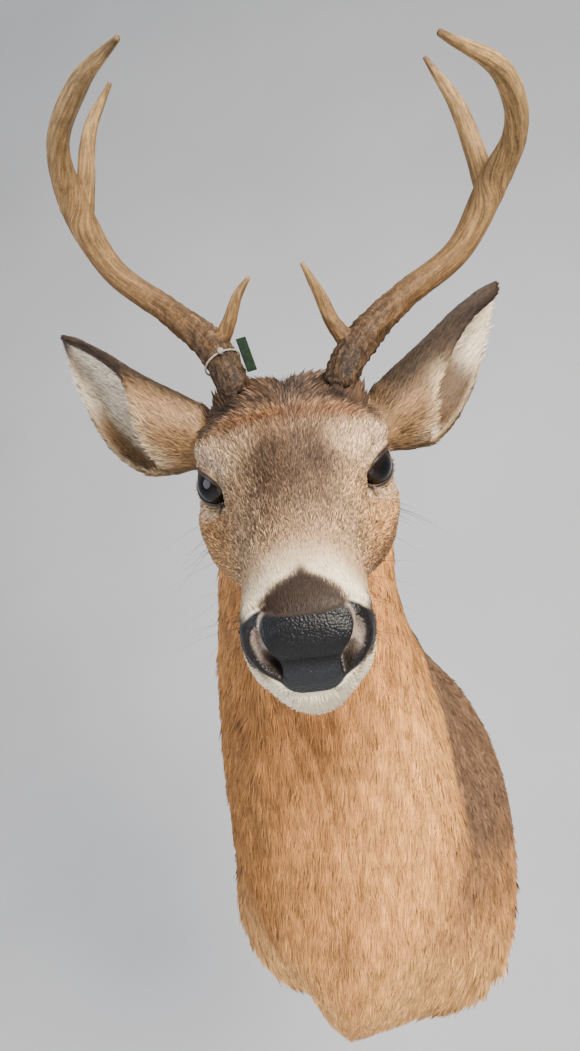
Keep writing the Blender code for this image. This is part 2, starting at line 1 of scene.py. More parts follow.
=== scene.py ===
"""Looks of the white-tailed deer shoulder mount: hide, coat, antlers, eyes and trim.

Metres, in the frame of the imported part: +Z up, the wall plane is Y = 0 and the deer
looks towards -Y. Head shapes are drawn in the head's own frame: x runs from midway
between the eyes to the nose, y to the deer's left, z up through the forehead.
"""

import bpy
import numpy as np
from mathutils import Matrix
from mathutils.kdtree import KDTree


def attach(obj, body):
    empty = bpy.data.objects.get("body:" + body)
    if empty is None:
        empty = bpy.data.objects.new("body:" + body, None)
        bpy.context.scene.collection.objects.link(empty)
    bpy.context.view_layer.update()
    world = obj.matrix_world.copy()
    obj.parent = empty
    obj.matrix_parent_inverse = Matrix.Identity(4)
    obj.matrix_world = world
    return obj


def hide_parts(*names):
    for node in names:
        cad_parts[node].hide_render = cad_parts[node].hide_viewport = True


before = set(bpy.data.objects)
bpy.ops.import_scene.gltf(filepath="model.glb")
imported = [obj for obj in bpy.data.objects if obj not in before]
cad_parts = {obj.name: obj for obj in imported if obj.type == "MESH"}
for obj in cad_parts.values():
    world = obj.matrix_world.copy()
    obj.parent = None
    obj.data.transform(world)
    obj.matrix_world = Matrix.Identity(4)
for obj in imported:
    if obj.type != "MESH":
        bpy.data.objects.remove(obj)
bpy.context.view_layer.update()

# ---------------------------------------------------------------- sizes of the form
HEAD_PLACE = np.array([-0.0005, -0.3515, 0.3081])
HEAD_TURNS = np.radians([18.75, 33.9, 10.3])            # turn, nod and tilt

# back y, back z, breast y, breast z, centre x, half width, widest place from the back,
# squareness above and below
TRUNK_SECTIONS = (
    (0.0, 0.175, 0.0, -0.235, 0.007, 0.165, 0.6, 2.0, 2.4),
    (-0.035, 0.191, -0.052, -0.234, 0.007, 0.147, 0.6, 1.9, 1.9),
    (-0.07, 0.214, -0.099, -0.224, 0.009, 0.131, 0.6, 1.7, 1.45),
    (-0.1, 0.24, -0.145, -0.188, 0.007, 0.121, 0.6, 1.6, 1.5),
    (-0.128, 0.267, -0.176, -0.134, 0.001, 0.113, 0.6, 1.5, 1.8),
    (-0.155, 0.293, -0.189, -0.072, -0.006, 0.107, 0.62, 1.45, 1.9),
    (-0.181, 0.318, -0.2, -0.008, -0.012, 0.101, 0.63, 1.4, 2.0),
    (-0.206, 0.34, -0.213, 0.055, -0.017, 0.094, 0.63, 1.45, 2.0),
    (-0.23, 0.359, -0.232, 0.116, -0.019, 0.086, 0.62, 1.6, 2.0),
    (-0.253, 0.374, -0.253, 0.17, -0.018, 0.08, 0.58, 1.8, 2.0),
    (-0.274, 0.382, -0.273, 0.212, -0.016, 0.074, 0.54, 2.0, 2.0),
    (-0.292, 0.376, -0.288, 0.242, -0.012, 0.06, 0.5, 2.0, 2.0),
)
# x, top z, bottom z, half width, z of the widest place, squareness above and below
HEAD_SECTIONS = (
    (-0.105, 0.03, -0.062, 0.05, -0.014, 2.0, 2.0),
    (-0.088, 0.05, -0.08, 0.062, -0.016, 2.1, 2.1),
    (-0.062, 0.062, -0.094, 0.071, -0.018, 2.3, 2.2),
    (-0.032, 0.064, -0.098, 0.077, -0.018, 2.6, 2.3),
    (-0.004, 0.053, -0.094, 0.0765, -0.018, 2.9, 2.3),
    (0.024, 0.043, -0.084, 0.071, -0.026, 2.4, 2.3),
    (0.054, 0.036, -0.07, 0.059, -0.026, 2.2, 2.2),
    (0.085, 0.032, -0.06, 0.047, -0.02, 2.2, 2.2),
    (0.115, 0.029, -0.057, 0.0405, -0.016, 2.3, 2.2),
    (0.145, 0.026, -0.06, 0.0385, -0.014, 2.4, 2.1),
    (0.168, 0.023, -0.067, 0.0375, -0.012, 2.5, 1.9),
    (0.182, 0.019, -0.064, 0.0355, -0.011, 2.5, 1.8),
    (0.19, 0.013, -0.05, 0.031, -0.011, 2.4, 1.8),
    (0.196, 0.002, -0.034, 0.02, -0.011, 2.2, 1.9),
    (0.198, -0.006, -0.02, 0.008, -0.011, 2.0, 2.0),
)
EYE_PLACE = np.array([0.0, 0.0545, 0.003])
EYE_RADIUS = 0.0178
EYE_LOOK = np.array([0.68, 0.73, 0.06])
LID_LINE = np.array([0.86, -0.3, -0.22])        # along the lids, towards the front corner
# half opening along and across the lids, and the front corner's ends, in radians about the eye's centre
LID_HALF = (1.16, 0.64)
LID_CORNER = ((1.04, -0.1), (1.28, -0.2))
TEAR_PIT = ((0.019, -0.006), (0.036, -0.019))       # x and z of its ends on the side of the face
# steps of the side of the face: depth, x and z of both ends, spread
HEAD_FORMS = (
    (0.0042, (-0.03, 0.026), (0.012, 0.027), 0.008),       # brow
    (-0.016, (0.018, -0.002), (0.024, 0.002), 0.0135),     # hollow before the eye
    (-0.0085, (0.04, -0.002), (0.048, -0.002), 0.014),
    (-0.0022, (0.065, -0.008), (0.105, -0.006), 0.013),     # bridge's foot
    (0.0024, (0.0, -0.025), (0.05, -0.027), 0.007),      # cheekbone
    (0.0022, (-0.03, -0.05), (0.015, -0.052), 0.02),     # jaw muscle
    (-0.0014, TEAR_PIT[0], TEAR_PIT[1], 0.002),
)
# z, half width of the nose pad, middle and half width of the nostril's comma, edge of the wing
NOSE_ROWS = (
    (-0.0375, 0.0, 0.017, 0.0, 0.0),
    (-0.033, 0.012, 0.017, 0.0, 0.012),
    (-0.026, 0.016, 0.0172, 0.0, 0.0182),
    (-0.0205, 0.0164, 0.018, 0.0018, 0.0255),
    (-0.015, 0.0168, 0.0204, 0.004, 0.0325),
    (-0.0085, 0.0182, 0.0236, 0.0054, 0.0364),
    (-0.003, 0.0222, 0.0262, 0.0044, 0.037),
    (0.003, 0.025, 0.027, 0.0024, 0.0352),
    (0.008, 0.025, 0.027, 0.0, 0.0316),
    (0.0125, 0.0228, 0.025, 0.0, 0.0262),
    (0.015, 0.019, 0.025, 0.0, 0.02),
)

EAR_BASE = {"right": np.array([-0.062, -0.05, 0.008]), "left": np.array([-0.058, 0.054, 0.004])}
EAR_TIP = {"right": np.array([-0.143, -0.186, 0.091]), "left": np.array([-0.155, 0.191, 0.086])}
EAR_OPENING = {"right": np.array([0.62, -0.62, -0.48]), "left": np.array([0.42, 0.78, -0.46])}
# place, radius, and the arc in degrees from the back to the far rim, to the front rim of
# the right ear and to that of the left ear
EAR_SECTIONS = (
    (0.0, 0.024, 172.0, 172.0, 172.0),
    (0.14, 0.031, 160.0, 160.0, 160.0),
    (0.28, 0.04, 132.0, 118.0, 104.0),
    (0.42, 0.044, 116.0, 76.0, 80.0),
    (0.56, 0.043, 108.0, 54.0, 68.0),
    (0.7, 0.037, 102.0, 50.0, 67.0),
    (0.84, 0.0245, 98.0, 56.0, 80.0),
    (0.94, 0.0125, 94.0, 72.0, 88.0),
    (1.0, 0.0045, 90.0, 86.0, 90.0),
)
EAR_BELLY = {"right": 0.036, "left": 0.0305}
# lobe of dark hair along the far rim: degrees in from it, place where it starts, colour
EAR_LOBE = {"right": (34.0, 0.2, "#80603C"), "left": (72.0, 0.3, "#4F371B")}
EAR_TAN = {"right": 35.0, "left": 62.0}          # degrees round the ear where its tan hair starts
EAR_FRONT = {"right": 1.0, "left": -1.0}        # sign of the angle towards the front rim

# x, y, z and radius along each beam, and along its brow tine and back tine
BEAM = {
    "right": np.array((
        (-0.04, -0.036, 0.04, 0.013),
        (-0.054, -0.04, 0.063, 0.0128),
        (-0.08, -0.054, 0.085, 0.013),
        (-0.103, -0.084, 0.109, 0.0107),
        (-0.115, -0.124, 0.145, 0.01),
        (-0.113, -0.14, 0.19, 0.0113),
        (-0.089, -0.137, 0.232, 0.008),
        (-0.048, -0.105, 0.267, 0.0064),
        (-0.001, -0.067, 0.285, 0.0018),
    )),
    "left": np.array((
        (-0.034, 0.04, 0.04, 0.013),
        (-0.045, 0.046, 0.062, 0.0128),
        (-0.069, 0.066, 0.079, 0.013),
        (-0.094, 0.1, 0.099, 0.011),
        (-0.107, 0.148, 0.127, 0.0104),
        (-0.106, 0.174, 0.173, 0.0117),
        (-0.084, 0.1825, 0.202, 0.0088),
        (-0.044, 0.164, 0.24, 0.0069),
        (0.001, 0.114, 0.266, 0.002),
    )),
}
TINES = {
    "right": (
        ((-0.074, -0.05, 0.08, 0.008), (-0.077, -0.036, 0.102, 0.0054),
         (-0.076, -0.027, 0.12, 0.0038), (-0.07, -0.016, 0.134, 0.0016)),
        ((-0.116, -0.139, 0.18, 0.009), (-0.12, -0.13, 0.208, 0.007),
         (-0.124, -0.12, 0.24, 0.0052), (-0.128, -0.098, 0.27, 0.0016)),
    ),
    "left": (
        ((-0.062, 0.058, 0.072, 0.0085), (-0.066, 0.043, 0.093, 0.006),
         (-0.068, 0.034, 0.117, 0.0044), (-0.064, 0.024, 0.14, 0.0016)),
        ((-0.11, 0.172, 0.162, 0.0095), (-0.119, 0.163, 0.194, 0.0076),
         (-0.124, 0.152, 0.224, 0.006), (-0.127, 0.129, 0.259, 0.0016)),
    ),
}
TRUNK, SKULL, RIGHT_EAR, LEFT_EAR, STEM = range(5)      # numbers of the hide's regions
SIDES = (("right", -1.0), ("left", 1.0))
EARS = ((RIGHT_EAR, "right"), (LEFT_EAR, "left"))
# rings and points to a ring
TRUNK_GRID, HEAD_GRID, EAR_GRID, STEM_GRID = (120, 150), (236, 216), (70, 34), (16, 60)
COAT_DEPTH = 0.0055                                     # how far the trunk's hide lies under its outline
MELT_ROUNDS, SMOOTH_ROUNDS = 9, 30                      # width and smoothness of the hide's joins
# length, width, lift as an angle, and roots to a square metre of the locks
BODY_LOCKS = np.array([0.02, 0.0012, 0.12, 0.53e6])
HEAD_LOCKS = np.array([0.0095, 0.001, 0.18, 1.0e6])
EAR_LOCKS = np.array([0.009, 0.001, 0.16, 0.75e6])
STEM_LOCKS = np.array([0.015, 0.0012, 0.42, 1.1e6])
# what a place adds to them
LOCK_CHANGES = {name: np.array(row) for name, row in (
    ("fringe", (0.016, -0.0003, 0.16, 0.30e6)),        # long hair along the lower edge
    ("grey", (-0.008, 0.0, 0.0, 0.0)),                 # short grizzled coat
    ("face", (-0.0031, -0.0002, 0.0, 0.45e6)),
    ("muzzle", (-0.0019, -0.0001, 0.0, 0.5e6)),
    ("crown", (0.0105, 0.0, 0.14, 0.0)),
    ("chin", (0.002, 0.0, 0.1, 0.0)),
    ("jaw", (0.004, 0.0, 0.08, 0.0)),
    ("ear tip", (-0.0045, 0.0, -0.08, 0.0)),
    ("inner ear", (-0.001, 0.0, 0.0, 0.0)))}
# points along and round, seed, pearls, and age at root and tip: beam, brow tine, back tine
ANTLER_PARTS = (
    (220, 36, 11, 1.0, 0.0, 1.0),
    (60, 24, 12, 0.5, 0.15, 0.8),
    (80, 24, 13, 0.0, 0.5, 1.0),
)
# name, place, size across, watts and colour
LAMPS = (
    ("key", (1.0, -1.7, 0.95), 0.8, 108.0, "#FFF7EC"),
    ("fill", (-1.5, -1.5, 0.1), 1.4, 30.0, "#EAF1FF"),
    ("bounce", (0.5, -1.7, -0.8), 1.2, 7.0, "#FFF4E4"),
    ("top", (0.1, -0.4, 1.9), 1.2, 14.0, "#FFFFFF"),
)
LAMP_AIM = np.array([0.0, -0.22, 0.15])
CAMERA_PLACE, CAMERA_TURNS = (0.146, -0.885, 0.225), np.radians([15.6, 4.87, 1.85])
SENSOR, LENS = 36.0, 25.69                              # millimetres
FLOAT_KEYS = {"FLOAT": "value", "FLOAT_VECTOR": "vector", "FLOAT_COLOR": "color"}
RNG = np.random.default_rng(41)


# ---------------------------------------------------------------- small tools
def axes(turn, nod, tilt):
    """Columns forward, left and up of a frame turned about Z, nodded down, then tilted about forward."""
    forward = np.array([np.sin(turn) * np.cos(nod), -np.cos(turn) * np.cos(nod), -np.sin(nod)])
    level = np.array([np.cos(turn), np.sin(turn), 0.0])
    rise = np.cross(forward, level)
    return np.stack([forward, level * np.cos(tilt) + rise * np.sin(tilt),
                     rise * np.cos(tilt) - level * np.sin(tilt)], axis=1)


HEAD = axes(*HEAD_TURNS)


def to_world(local):
    """Head-frame points in the world."""
    return HEAD_PLACE + local @ HEAD.T


def to_head(world):
    """World points in the head's frame."""
    return (world - HEAD_PLACE) @ HEAD


def folded(q):
    """Points of the head's right half mirrored onto its left."""
    return np.stack([q[..., 0], np.abs(q[..., 1]), q[..., 2]], axis=-1)


def unit(vectors):
    """Vectors made one long."""
    return vectors / np.maximum(np.linalg.norm(vectors, axis=-1, keepdims=True), 1e-12)


def beside(heading):
    """Two unit vectors square to a heading and to each other."""
    first = unit(np.cross(heading, [0.3, 1.0, 0.1]))
    return first, np.cross(heading, first)


def turns(count):
    """Angles of count even steps round a circle."""
    return np.arange(count) * 2.0 * np.pi / count


def fade(value, low, high):
    """Smooth step from 0 at low to 1 at high."""
    t = np.clip((value - low) / (high - low), 0.0, 1.0)
    return t * t * (3.0 - 2.0 * t)


def fall(value, low, high):
    """Smooth step from 1 at low to 0 at high."""
    return 1.0 - fade(value, low, high)


def between(value, low, high, top, end):
    """Smooth rise from low to high, and fall from top to end."""
    return fade(value, low, high) * fall(value, top, end)


def bell(distance, spread):
    """Bell curve of a distance."""
    return np.exp(-(distance / spread) ** 2)


def blend(base, value, share):
    """Base carried towards value by a share from 0 to 1."""
    return base + (value - base) * share


def to_segment(across, up, start, end):
    """Distance of flat points from a straight piece between two ends."""
    points = np.stack([across, up], axis=-1)
    start, end = np.array(start), np.array(end)
    run = end - start
    share = np.clip((points - start) @ run / (run @ run), 0.0, 1.0)
    return np.linalg.norm(points - start - share[..., None] * run, axis=-1)


def flow(rows, at):
    """Cubic Hermite curve through rows of values; the first column is the place along it."""
    table = np.array(rows, dtype=float)
    place, values = table[:, 0], table[:, 1:]
    slope = np.gradient(values, place, axis=0)
    at = np.atleast_1d(at)
    left = np.clip(np.searchsorted(place, at, side="right") - 1, 0, len(place) - 2)
    step = (place[left + 1] - place[left])[:, None]
    t = (at - place[left])[:, None] / step
    return ((2 * t**3 - 3 * t**2 + 1) * values[left]
            + (t**3 - 2 * t**2 + t) * step * slope[left]
            + (3 * t**2 - 2 * t**3) * values[left + 1]
            + (t**3 - t**2) * step * slope[left + 1])


def length_along(line):
    """Length of a line from its start to each of its points."""
    return np.concatenate([[0.0], np.cumsum(np.linalg.norm(np.diff(line, axis=0), axis=1))])


def soft_power(value, squareness):
    """Signed power that turns a circle's sine or cosine into a squarer oval's."""
    return np.sign(value) * np.abs(value) ** (2.0 / squareness)


def waves(points, size, seed):
    """Gentle random swell between -1 and 1: six sine waves in random directions, each about size long."""
    source = np.random.default_rng(seed)
    total = np.zeros(len(points))
    for _ in range(6):
        way = unit(source.normal(size=3)) * 2.0 * np.pi / (size * source.uniform(0.7, 1.4))
        total += np.sin(points @ way + source.uniform(0.0, 6.28))
    return total / 3.5


# ---------------------------------------------------------------- meshes
def mesh_from(name, points, faces):
    """Mesh from an array of points and a list of arrays of equal-sided faces."""
    mesh = bpy.data.meshes.new(name)
    mesh.vertices.add(len(points))
    mesh.vertices.foreach_set("co", np.asarray(points, np.float32).ravel())
    corners = np.concatenate([block.ravel() for block in faces]).astype(np.int32)
    sizes = np.concatenate([np.full(len(block), block.shape[1], np.int32) for block in faces])
    mesh.loops.add(len(corners))
    mesh.loops.foreach_set("vertex_index", corners)
    mesh.polygons.add(len(sizes))
    mesh.polygons.foreach_set("loop_start", np.concatenate([[0], np.cumsum(sizes)[:-1]]).astype(np.int32))
    mesh.polygons.foreach_set("use_smooth", np.ones(len(sizes), bool))
    mesh.update(calc_edges=True)
    mesh.validate()
    return mesh


def place_object(name, data):
    """Object at the origin that holds a mesh, a lamp or a camera."""
    thing = bpy.data.objects.new(name, data)
    bpy.context.scene.collection.objects.link(thing)
    return thing


def piece(name, points, faces, material):
    """Finished piece of the mount, in one material."""
    thing = place_object(name, mesh_from(name, points, faces))
    thing.data.materials.append(material)
    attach(thing, "root")
    return thing


def turned_out(points, faces):
    """Faces with their corners in the order that makes the volume they close positive."""
    a, b, c = (points[faces[0][:, k]] for k in (0, 1, 2))
    outward = np.einsum("ij,ij->", np.cross(a, b), c) >= 0.0
    return faces if outward else [block[:, ::-1] for block in faces]


def tube_faces(rings, sides):
    """Faces of a grid of rings closed by a fan at each end; the two end points come last."""
    ring, side = np.meshgrid(np.arange(rings - 1), np.arange(sides), indexing="ij")
    low, across = (ring * sides + side).ravel(), (ring * sides + (side + 1) % sides).ravel()
    quads = np.stack([low, across, across + sides, low + sides], axis=1)
    turn = np.arange(sides)
    after = (turn + 1) % sides
    first, last = rings * sides, rings * sides + 1
    end = (rings - 1) * sides
    fans = np.concatenate([np.stack([np.full(sides, first), after, turn], axis=1),
                           np.stack([np.full(sides, last), end + turn, end + after], axis=1)])
    return [quads, fans]


def closed_tube(name, grid):
    """Closed object through a grid of rings."""
    points = np.concatenate([grid.reshape(-1, 3), grid[:1].mean(axis=1), grid[-1:].mean(axis=1)])
    return place_object(name, mesh_from(name, points, turned_out(points, tube_faces(*grid.shape[:2]))))


def band(grid):
    """Points and faces of a grid that closes on itself both ways."""
    rows, sides, _ = grid.shape
    index = np.arange(rows * sides).reshape(rows, sides)
    ahead = np.roll(index, -1, axis=0)
    quads = np.stack([index, ahead, np.roll(ahead, -1, axis=1), np.roll(index, -1, axis=1)], axis=-1)
    points = grid.reshape(-1, 3)
    return points, turned_out(points, [quads.reshape(-1, 4)])


def joined(base, others, name):
    """Union of closed objects as a new object; each part's faces keep their material number."""
    for other in others:
        step = base.modifiers.new("join", "BOOLEAN")
        step.operation, step.solver, step.object = "UNION", "MANIFOLD", other
    bpy.context.view_layer.update()
    evaluated = base.evaluated_get(bpy.context.evaluated_depsgraph_get())
    mesh = bpy.data.meshes.new_from_object(evaluated)
    mesh.name = name
    for thing in (base, *others):
        bpy.data.objects.remove(thing)
    return place_object(name, mesh)


def arrays_of(mesh):
    """Points, corner triangles, each triangle's material number and the normals of a mesh."""
    mesh.calc_loop_triangles()

    def read(source, key, width, kind):
        """One property of a collection as rows of width values."""
        values = np.empty(len(source) * width, kind)
        source.foreach_get(key, values)
        return values.reshape(-1, width) if width > 1 else values

    owner = read(mesh.loop_triangles, "polygon_index", 1, np.int32)
    number = read(mesh.polygons, "material_index", 1, np.int32)
    return (read(mesh.vertices, "co", 3, np.float32).astype(float),
            read(mesh.loop_triangles, "vertices", 3, np.int32), number[owner],
            read(mesh.vertex_normals, "vector", 3, np.float32).astype(float))


def put(mesh, name, kind, values):
    """Store a value, vector or colour at each point of a mesh."""
    if kind == "FLOAT_COLOR":
        values = np.column_stack([values, np.ones(len(values))])
    layer = mesh.attributes.new(name, kind, "POINT")
    layer.data.foreach_set(FLOAT_KEYS[kind], values.astype(np.float32).ravel())


def soften(points, edges, weight, rounds):
    """Each round moves every point towards the mean of its neighbours, by its weight."""
    first, second = edges[:, 0], edges[:, 1]
    degree = np.bincount(edges.ravel(), minlength=len(points)).astype(float)
    for _ in range(rounds):
        mean = np.stack([np.bincount(first, points[second, k], len(points))
                         + np.bincount(second, points[first, k], len(points)) for k in range(3)], axis=1)
        mean /= np.maximum(degree, 1.0)[:, None]
        points = points + (mean - points) * weight[:, None]
    return points


# ---------------------------------------------------------------- colours
def linear(code):
    """Linear red, green and blue of an sRGB hex code."""
    value = np.array([int(code[k:k + 2], 16) / 255.0 for k in (1, 3, 5)])
    return np.where(value <= 0.04045, value / 12.92, ((value + 0.055) / 1.055) ** 2.4)


def flat_tone(code, count):
    """One colour for all of count points."""
    return np.tile(linear(code), (count, 1))


def lay(tone, *layers):
    """Colours laid over others in turn, each as an sRGB code and an amount from 0 to 1."""
    for code, amount in layers:
        tone = blend(tone, linear(code), np.clip(amount, 0.0, 1.0)[:, None])
    return tone


def grey_share(p):
    """Share of grizzled grey-brown, with ragged edges: the nape, and the shoulder behind a line."""
    ragged = 0.008 * waves(p, 0.05, 21) + 0.004 * waves(p, 0.016, 22)
    _, y, z = p.T
    low = np.clip(0.08 - z, 0.0, 0.2)
    line = -0.15 + 0.16 * low + 0.3 * np.clip(z - 0.15, 0.0, 0.2)
    shoulder = fade(y - line + ragged, -0.012 - 0.2 * low, 0.014 + 0.1 * low)
    nape = fade(z + 1.25 * y + 2.0 * ragged, -0.03, 0.07)
    return np.maximum(shoulder * fade(z + 1.5 * ragged, -0.125, 0.01), nape)


def trunk_colour(p):
    """Markings of the neck and shoulders: tan throat and breast, grey-brown shoulder and nape, with painted
    light and shade.
    """
    x, y, z = p.T
    front = fade(-y, 0.06, 0.16)
    ridge = to_segment(x, z, (-0.07, 0.1), (-0.054, 0.0))
    return lay(
        flat_tone("#BC834B", len(p)),
        # painted light on the left of the throat, bright breast, painted shade under the jaw over its darker
        # hair, and painted shade down the right side
        ("#DBA05E", 0.85 * front * bell(x - 0.055, 0.06) * fall(z, 0.08, 0.2)),
        ("#DEA665", 0.8 * fade(-z, 0.06, 0.16)),
        ("#8A5C33", 0.85 * front * bell(x + 0.01, 0.048) * bell(z - 0.11, 0.05)),
        ("#85592E", 0.8 * fade(-x, 0.028, 0.072) * fade(z, -0.2, -0.05)
         * (1.0 - 0.35 * fade(z, 0.08, 0.16))),
        # painted highlight along the parting of the hair, and painted shade in the crease down the keel
        ("#D9AC76", 0.06 * front * bell(ridge, 0.009)),
        ("#8C6240", 0.6 * bell(x - 0.012, 0.006) * bell(z + 0.095, 0.03) * front),
        ("#6B5340", 0.92 * grey_share(p)))


def head_colour(q):
    """Markings of the head in its own frame."""
    half = folded(q)
    x, side, z = half.T
    top, bridge_top = fade(z, 0.0, 0.015), fade(z, 0.0, 0.008)
    middle = fall(side, 0.016, 0.04) * between(x, -0.005, 0.03, 0.07, 0.14)
    brow = fade(side, 0.018, 0.04) * between(x, -0.01, 0.008, 0.024, 0.048) * fade(z, 0.004, 0.02)
    ring = fall(np.linalg.norm(half - EYE_PLACE, axis=1), 0.024, 0.036)
    crown = fade(-x, 0.003, 0.016) * fade(z, 0.018, 0.038)
    patch = 0.029 * (np.clip(x - 0.16, 0.0, None) / 0.026) ** 1.4 - side
    return lay(
        flat_tone("#A88968", len(q)),
        # tan cheeks and sides of the bridge
        ("#B08558", 0.8 * fade(side, 0.028, 0.048) * fade(x, 0.03, 0.07)),
        ("#B58354", 0.8 * fade(-z, 0.025, 0.06)),
        ("#B58450", 0.7 * fade(side, 0.036, 0.058) * fade(-z, -0.004, 0.022)),
        # dark forehead and a darker fleck on each side of it, pale brows and eye rings
        ("#523D2D", 0.85 * middle * top),
        ("#43332A", 0.55 * bell(np.hypot(x - 0.046, side - 0.021), 0.016) * top),
        ("#BFA281", 0.75 * np.maximum(brow, 0.85 * ring)),
        # russet line before the dark crown, and the black foot of each antler
        ("#653F23", 0.88 * bell(x + 0.001, 0.012) * fade(z, 0.034, 0.044)),
        ("#443227", 0.9 * crown),
        ("#150D09", 0.9 * crown * bell(side - 0.037, 0.013) * bell(x + 0.024, 0.013)),
        # pale band round the muzzle, dark wedge above the nose, white chin and throat
        ("#E9D8B8", 0.92 * fade(x + 0.9 * np.clip(z - 0.024, -0.016, 0.0) - 0.1 * side, 0.129, 0.17)),
        ("#361F15", 0.92 * fade(patch, -0.0045, 0.003) * fade(x, 0.152, 0.164) * bridge_top),
        ("#20140E", 0.8 * fade(patch, 0.0, 0.008) * fade(x, 0.152, 0.166) * bridge_top),
        ("#FFF3D8", 0.97 * fade(-z - 0.1 * (0.15 - x), 0.026, 0.036) * fade(x, 0.085, 0.135)),
        ("#DDC9A8", 0.5 * fade(-z, 0.05, 0.07) * fade(x, 0.02, 0.07)))


def ear_frame(side):
    """Root of an ear, and unit vectors towards its tip, its opening and across both."""
    base = EAR_BASE[side]
    axis = unit(EAR_TIP[side] - base)
    opening = unit(EAR_OPENING[side] - axis * (EAR_OPENING[side] @ axis))
    return base, axis, opening, np.cross(axis, opening)


def ear_rims(side, at):
    """Radius of an ear, and degrees round it to its far and its front rim, at places along it."""
    radius, far, right, left = flow(EAR_SECTIONS, at).T
    return radius, far, right if side == "right" else left


def ear_place(q, side, normals):
    """Place from root to tip, degrees round the ear towards its front rim, and share of inner side."""
    base, _, opening, across = ear_frame(side)
    run = EAR_TIP[side] - base
    along = (q - base) @ run / (run @ run)
    hang = EAR_BELLY[side] * np.sin(np.pi * np.clip(along, 0.0, 1.0))
    back, aside = hang - (q - base) @ opening, (q - base) @ across
    reach = np.maximum(np.hypot(back, aside), 1e-6)
    outward = (normals @ HEAD @ across) * aside / reach - (normals @ HEAD @ opening) * back / reach
    return along, np.degrees(np.arctan2(aside, back)) * EAR_FRONT[side], fade(-outward, -0.25, 0.25)


def ear_colour(q, side, normals):
    """Markings of an ear: grey-brown back, tan root, dark rim and tip, pale inside with painted shade in its
    pit, and a lobe.
    """
    along, angle, inner = ear_place(q, side, normals)
    _, far_rim, front_rim = ear_rims(side, np.clip(along, 0.0, 1.0))
    tan = fade(angle - EAR_TAN[side], 0.0, 45.0) * fall(along, 0.3, 0.58)
    rim = bell(angle - front_rim + 3.0, 13.0) * (1.0 - 0.4 * inner) * fade(along, 0.4, 0.62)
    edge, start, hair = EAR_LOBE[side]
    lobe = inner * fade(-angle, far_rim - edge, far_rim - 0.6 * edge) * fall(along, 0.58, 0.74)
    lobe = lobe * fade(along, start - 0.04, start + 0.06) * (1.0 - 0.6 * bell(angle + far_rim, 6.0))
    # painted shade in the pit of the right ear, near its root
    pit = inner * bell(along - 0.37, 0.045) * bell(angle - front_rim + 30.0, 13.0) * (side == "right")
    return lay(
        flat_tone("#3D3024", len(q)),
        ("#A07C55", 0.74 * np.maximum(tan, 0.6 - 0.6 * fade(along, 0.05, 0.22))),
        ("#231710", 0.9 * rim),
        ("#D6C5AC", 0.95 * inner * fade(along, 0.16, 0.26) * fade(front_rim - angle, 2.0, 9.0)),
        ("#D9C29D", 0.6 * bell(angle - front_rim, 16.0) * between(along, 0.08, 0.16, 0.28, 0.42)),
        ("#A98B62", 0.7 * bell(angle + far_rim, 8.0) * between(along, 0.08, 0.18, 0.62, 0.82)),
        (hair, 0.96 * lobe),
        # painted shade in the pit
        ("#24160F", 0.88 * pit),
        ("#2C1E16", 0.85 * fade(along, 0.9, 0.98)))


# ---------------------------------------------------------------- the hide
def trunk_surface(rows, sides):
    """Rings of trunk and neck: superellipses between a back line and a breast line."""
    table = [(place, *row) for place, row in enumerate(TRUNK_SECTIONS)]
    at = np.linspace(0.0, len(table) - 1.0, rows)
    columns = flow(table, at)[:, :, None]
    back_y, back_z, breast_y, breast_z, middle, half, widest, above, below = columns.transpose(1, 0, 2)
    angle = turns(sides)[None, :]
    upper = np.sin(angle) >= 0.0
    squareness = np.where(upper, above, below)
    x = middle + soft_power(np.cos(angle), squareness) * (half - COAT_DEPTH)
    rise = np.abs(soft_power(np.sin(angle), squareness))
    wide_y = back_y + widest * (breast_y - back_y)
    wide_z = back_z + widest * (breast_z - back_z)
    y = wide_y + rise * (np.where(upper, back_y, breast_y) - wide_y)
    z = wide_z + rise * (np.where(upper, back_z - COAT_DEPTH, breast_z + COAT_DEPTH) - wide_z)
    # waist left of the keel, crease down the keel, ridge where the neck's hair parts
    z = z + 0.011 * bell(x + 0.04, 0.026) * fade(-z, 0.11, 0.19)
    y = y + 0.003 * bell(x - 0.016, 0.004) * bell(z + 0.1, 0.03) * fade(-y, 0.1, 0.14)
    parting = to_segment(x, z, (-0.074, 0.1), (-0.056, 0.0))
    y = y - 0.003 * bell(parting, 0.01) * fade(-y, 0.12, 0.16)
    return np.stack([x, np.minimum(y, -0.0015), z], axis=-1)


def crowded(rows):
    """Places along the head by even steps of a weighted run: closer together round eyes and nose."""
    fine = np.linspace(HEAD_SECTIONS[0][0], HEAD_SECTIONS[-1][0], 1500)
    values = flow(HEAD_SECTIONS, fine)
    turn = np.abs(np.gradient(values[:, 2], fine)) + np.abs(np.gradient(values[:, 0], fine))
    step = np.sqrt(1.0 + turn**2) * (1.0 + 1.3 * bell(fine - 0.012, 0.028) + 1.2 * fade(fine, 0.155, 0.18))
    run = np.concatenate([[0.0], np.cumsum((step[1:] + step[:-1]) / 2.0)])
    return np.interp(np.linspace(0.0, run[-1], rows), run, fine)


